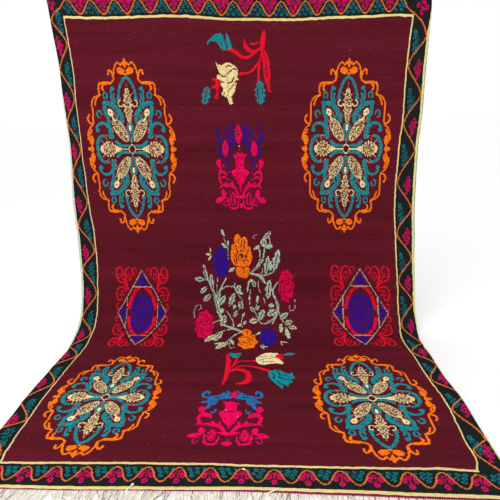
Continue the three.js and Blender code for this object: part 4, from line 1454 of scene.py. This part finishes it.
def make_fringe(material):
    """Loose warp ends on the floor: each is a tube along a path that runs forwards, is drawn evenly
    towards the middle of its tuft, leans with it, and curls from side to side by a sine."""
    count = YARN_COUNT
    share = (np.arange(count) + 0.5) / count
    root_u = (share - 0.5) * (WIDTH - 4 * YARN_RADIUS)
    root_reach = YARN_ROOT + YARN_ROOT_SPREAD * (np.arange(count) % 2)
    root = cloth_point(root_u, RUG_LENGTH - root_reach, THICKNESS * YARN_ROOT_DEPTH)
    tuft = np.floor(share * TUFT_COUNT).astype(int)
    tuft_middle = ((tuft + 0.5) / TUFT_COUNT - 0.5) * WIDTH
    sweep = TUFT_SWEEP * np.sin(2 * math.pi * TUFT_SWEEPS * share)
    tuft_lean = random.uniform(-TUFT_LEAN, TUFT_LEAN, TUFT_COUNT)[tuft] + sweep
    tuft_reach = random.uniform(-YARN_SPREAD, YARN_SPREAD, TUFT_COUNT)[tuft]
    reach = YARN_REACH + tuft_reach + random.uniform(-YARN_STRAY, YARN_STRAY, count)
    drawn = (tuft_middle - root_u) * TUFT_PULL
    curl = random.uniform(*YARN_CURL, count)
    turns = random.uniform(*YARN_TURNS, count)
    phase = random.uniform(0, 2 * math.pi, count)
    lift = random.uniform(0, YARN_LIFT, count)
    t = np.linspace(0, 1, YARN_STEPS)[:, None]
    swing = np.sin(2 * math.pi * turns * t + phase) - np.sin(phase)
    x = root[:, 0] + drawn * t + tuft_lean * t**1.5 + curl * swing * np.sqrt(t)
    y = root[:, 1] - (reach + root_reach) * t
    rest = FLOOR + YARN_RADIUS + lift * np.sin(math.pi * t) ** 2
    z = rest + (root[:, 2] - FLOOR) * (1 - smooth(0, YARN_DROP_END, t))
    radius = YARN_RADIUS * (1 - YARN_TIP_THINNING * smooth(YARN_TIP_START, 1, t)) * np.ones(count)
    # Each strand takes a random place on the warp ramp, and the lowest are painted dark as the shadow
    # between strands
    return make_tubes("warp_fringe", np.stack([x, y, z], -1), radius, random.random(count), material)


# Two warp ends that lie over the lower edge: the place across and along of each point, and its height
TIE_PATHS = [
    [(-320, 2968, 1.5), (-313, 2966, 4), (-312, 2972, 5), (-318, 2978, 4), (-324, 2990, 3),
     (-331, 3004, 2)],
    [(149, 2974, 1.5), (144, 2979, 2.5), (137, 2985, 2.5), (128, 2991, 2.5), (120, 2997, 2.5),
     (112, 3004, 2)],
]
TIE_RADIUS = 2


def make_ties(material):
    """The two warp ends that lie over the lower edge, one of them knotted."""
    places = np.array(TIE_PATHS, float).transpose(1, 0, 2)
    path = cloth_point(places[..., 0], places[..., 1], -places[..., 2])
    radius = np.full(path.shape[:2], TIE_RADIUS, float)
    return make_tubes("loose_warp_ends", path, radius, np.ones(len(TIE_PATHS)), material)


# The camera stands where the picture was taken from
CAMERA_PLACE = (0.124, -2.7674, -0.5606)
CAMERA_PITCH = math.radians(13.815)
CAMERA_YAW = math.radians(-1.898)
CAMERA_ROLL = math.radians(1.201)
CAMERA_LENS = 40.05
SENSOR = 36

# The floor's half width and the key light, in metres and watts
FLOOR_REACH = 60
KEY_PLACE = (-1.6, -3.2, 1.4)
KEY_TARGET = (0, -0.4, -1.2)
KEY_SIZE = 2.5
KEY_POWER = 60


def add_camera():
    """A camera that looks along its yaw and pitch, with its picture turned by its roll."""
    ahead = np.array([math.sin(CAMERA_YAW) * math.cos(CAMERA_PITCH),
                      math.cos(CAMERA_YAW) * math.cos(CAMERA_PITCH), -math.sin(CAMERA_PITCH)])
    level = np.array([math.cos(CAMERA_YAW), -math.sin(CAMERA_YAW), 0])
    down = np.cross(ahead, level)
    right = math.cos(CAMERA_ROLL) * level + math.sin(CAMERA_ROLL) * down
    up = math.sin(CAMERA_ROLL) * level - math.cos(CAMERA_ROLL) * down
    pose = np.eye(4)
    pose[:3, 0], pose[:3, 1], pose[:3, 2], pose[:3, 3] = right, up, -ahead, CAMERA_PLACE
    data = bpy.data.cameras.new("camera")
    data.lens = CAMERA_LENS
    data.sensor_width = SENSOR
    camera = bpy.data.objects.new("camera", data)
    camera.matrix_world = pose.T.tolist()
    bpy.context.collection.objects.link(camera)
    bpy.context.scene.camera = camera


def add_floor():
    """A plain pale floor, level under the rug."""
    material = bpy.data.materials.new("matt_white_floor")
    material.use_nodes = True
    shader = material.node_tree.nodes["Principled BSDF"]
    shader.inputs["Base Color"].default_value = linear_colour("#fdfdfc")
    shader.inputs["Roughness"].default_value = 0.9
    square = ((-1, -1), (1, -1), (1, 1), (-1, 1))
    corners = [(x * FLOOR_REACH, y * FLOOR_REACH, FLOOR * MM) for x, y in square]
    mesh = bpy.data.meshes.new("floor")
    mesh.from_pydata(corners, [], [(0, 1, 2, 3)])
    mesh.materials.append(material)
    floor = bpy.data.objects.new("floor", mesh)
    bpy.context.collection.objects.link(floor)


def add_light(name, place, target, size, power):
    """A square soft light that faces a target."""
    data = bpy.data.lights.new(name, "AREA")
    data.size = size
    data.energy = power
    light = bpy.data.objects.new(name, data)
    direction = np.subtract(target, place)
    turn = math.atan2(direction[0], -direction[1])
    tilt = math.atan2(math.hypot(direction[0], direction[1]), -direction[2])
    light.location = place
    light.rotation_euler = (tilt, 0, math.pi + turn)
    bpy.context.collection.objects.link(light)


def add_studio():
    """Even white surroundings, and a broad soft light from the upper left."""
    world = bpy.data.worlds.new("studio")
    world.use_nodes = True
    world.node_tree.nodes["Background"].inputs["Color"].default_value = (1, 1, 1, 1)
    world.node_tree.nodes["Background"].inputs["Strength"].default_value = 1.0
    bpy.context.scene.world = world
    add_light("key_light", KEY_PLACE, KEY_TARGET, KEY_SIZE, KEY_POWER)
    bpy.context.scene.view_settings.view_transform = "Standard"


draw_border()
draw_medallions()
draw_panels()
draw_upper_tulips()
draw_upper_vase()
draw_bouquet()
draw_lower_tulips()
draw_lower_vase()
sheet = make_sheet()
brocade = make_brocade()
band = make_band()
warp_wool = make_warp_wool()
fringe = make_fringe(warp_wool)
ties = make_ties(warp_wool)
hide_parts("rug_cloth")
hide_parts("end_fringe")
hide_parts("end_fringe")

add_camera()
add_floor()
add_studio()
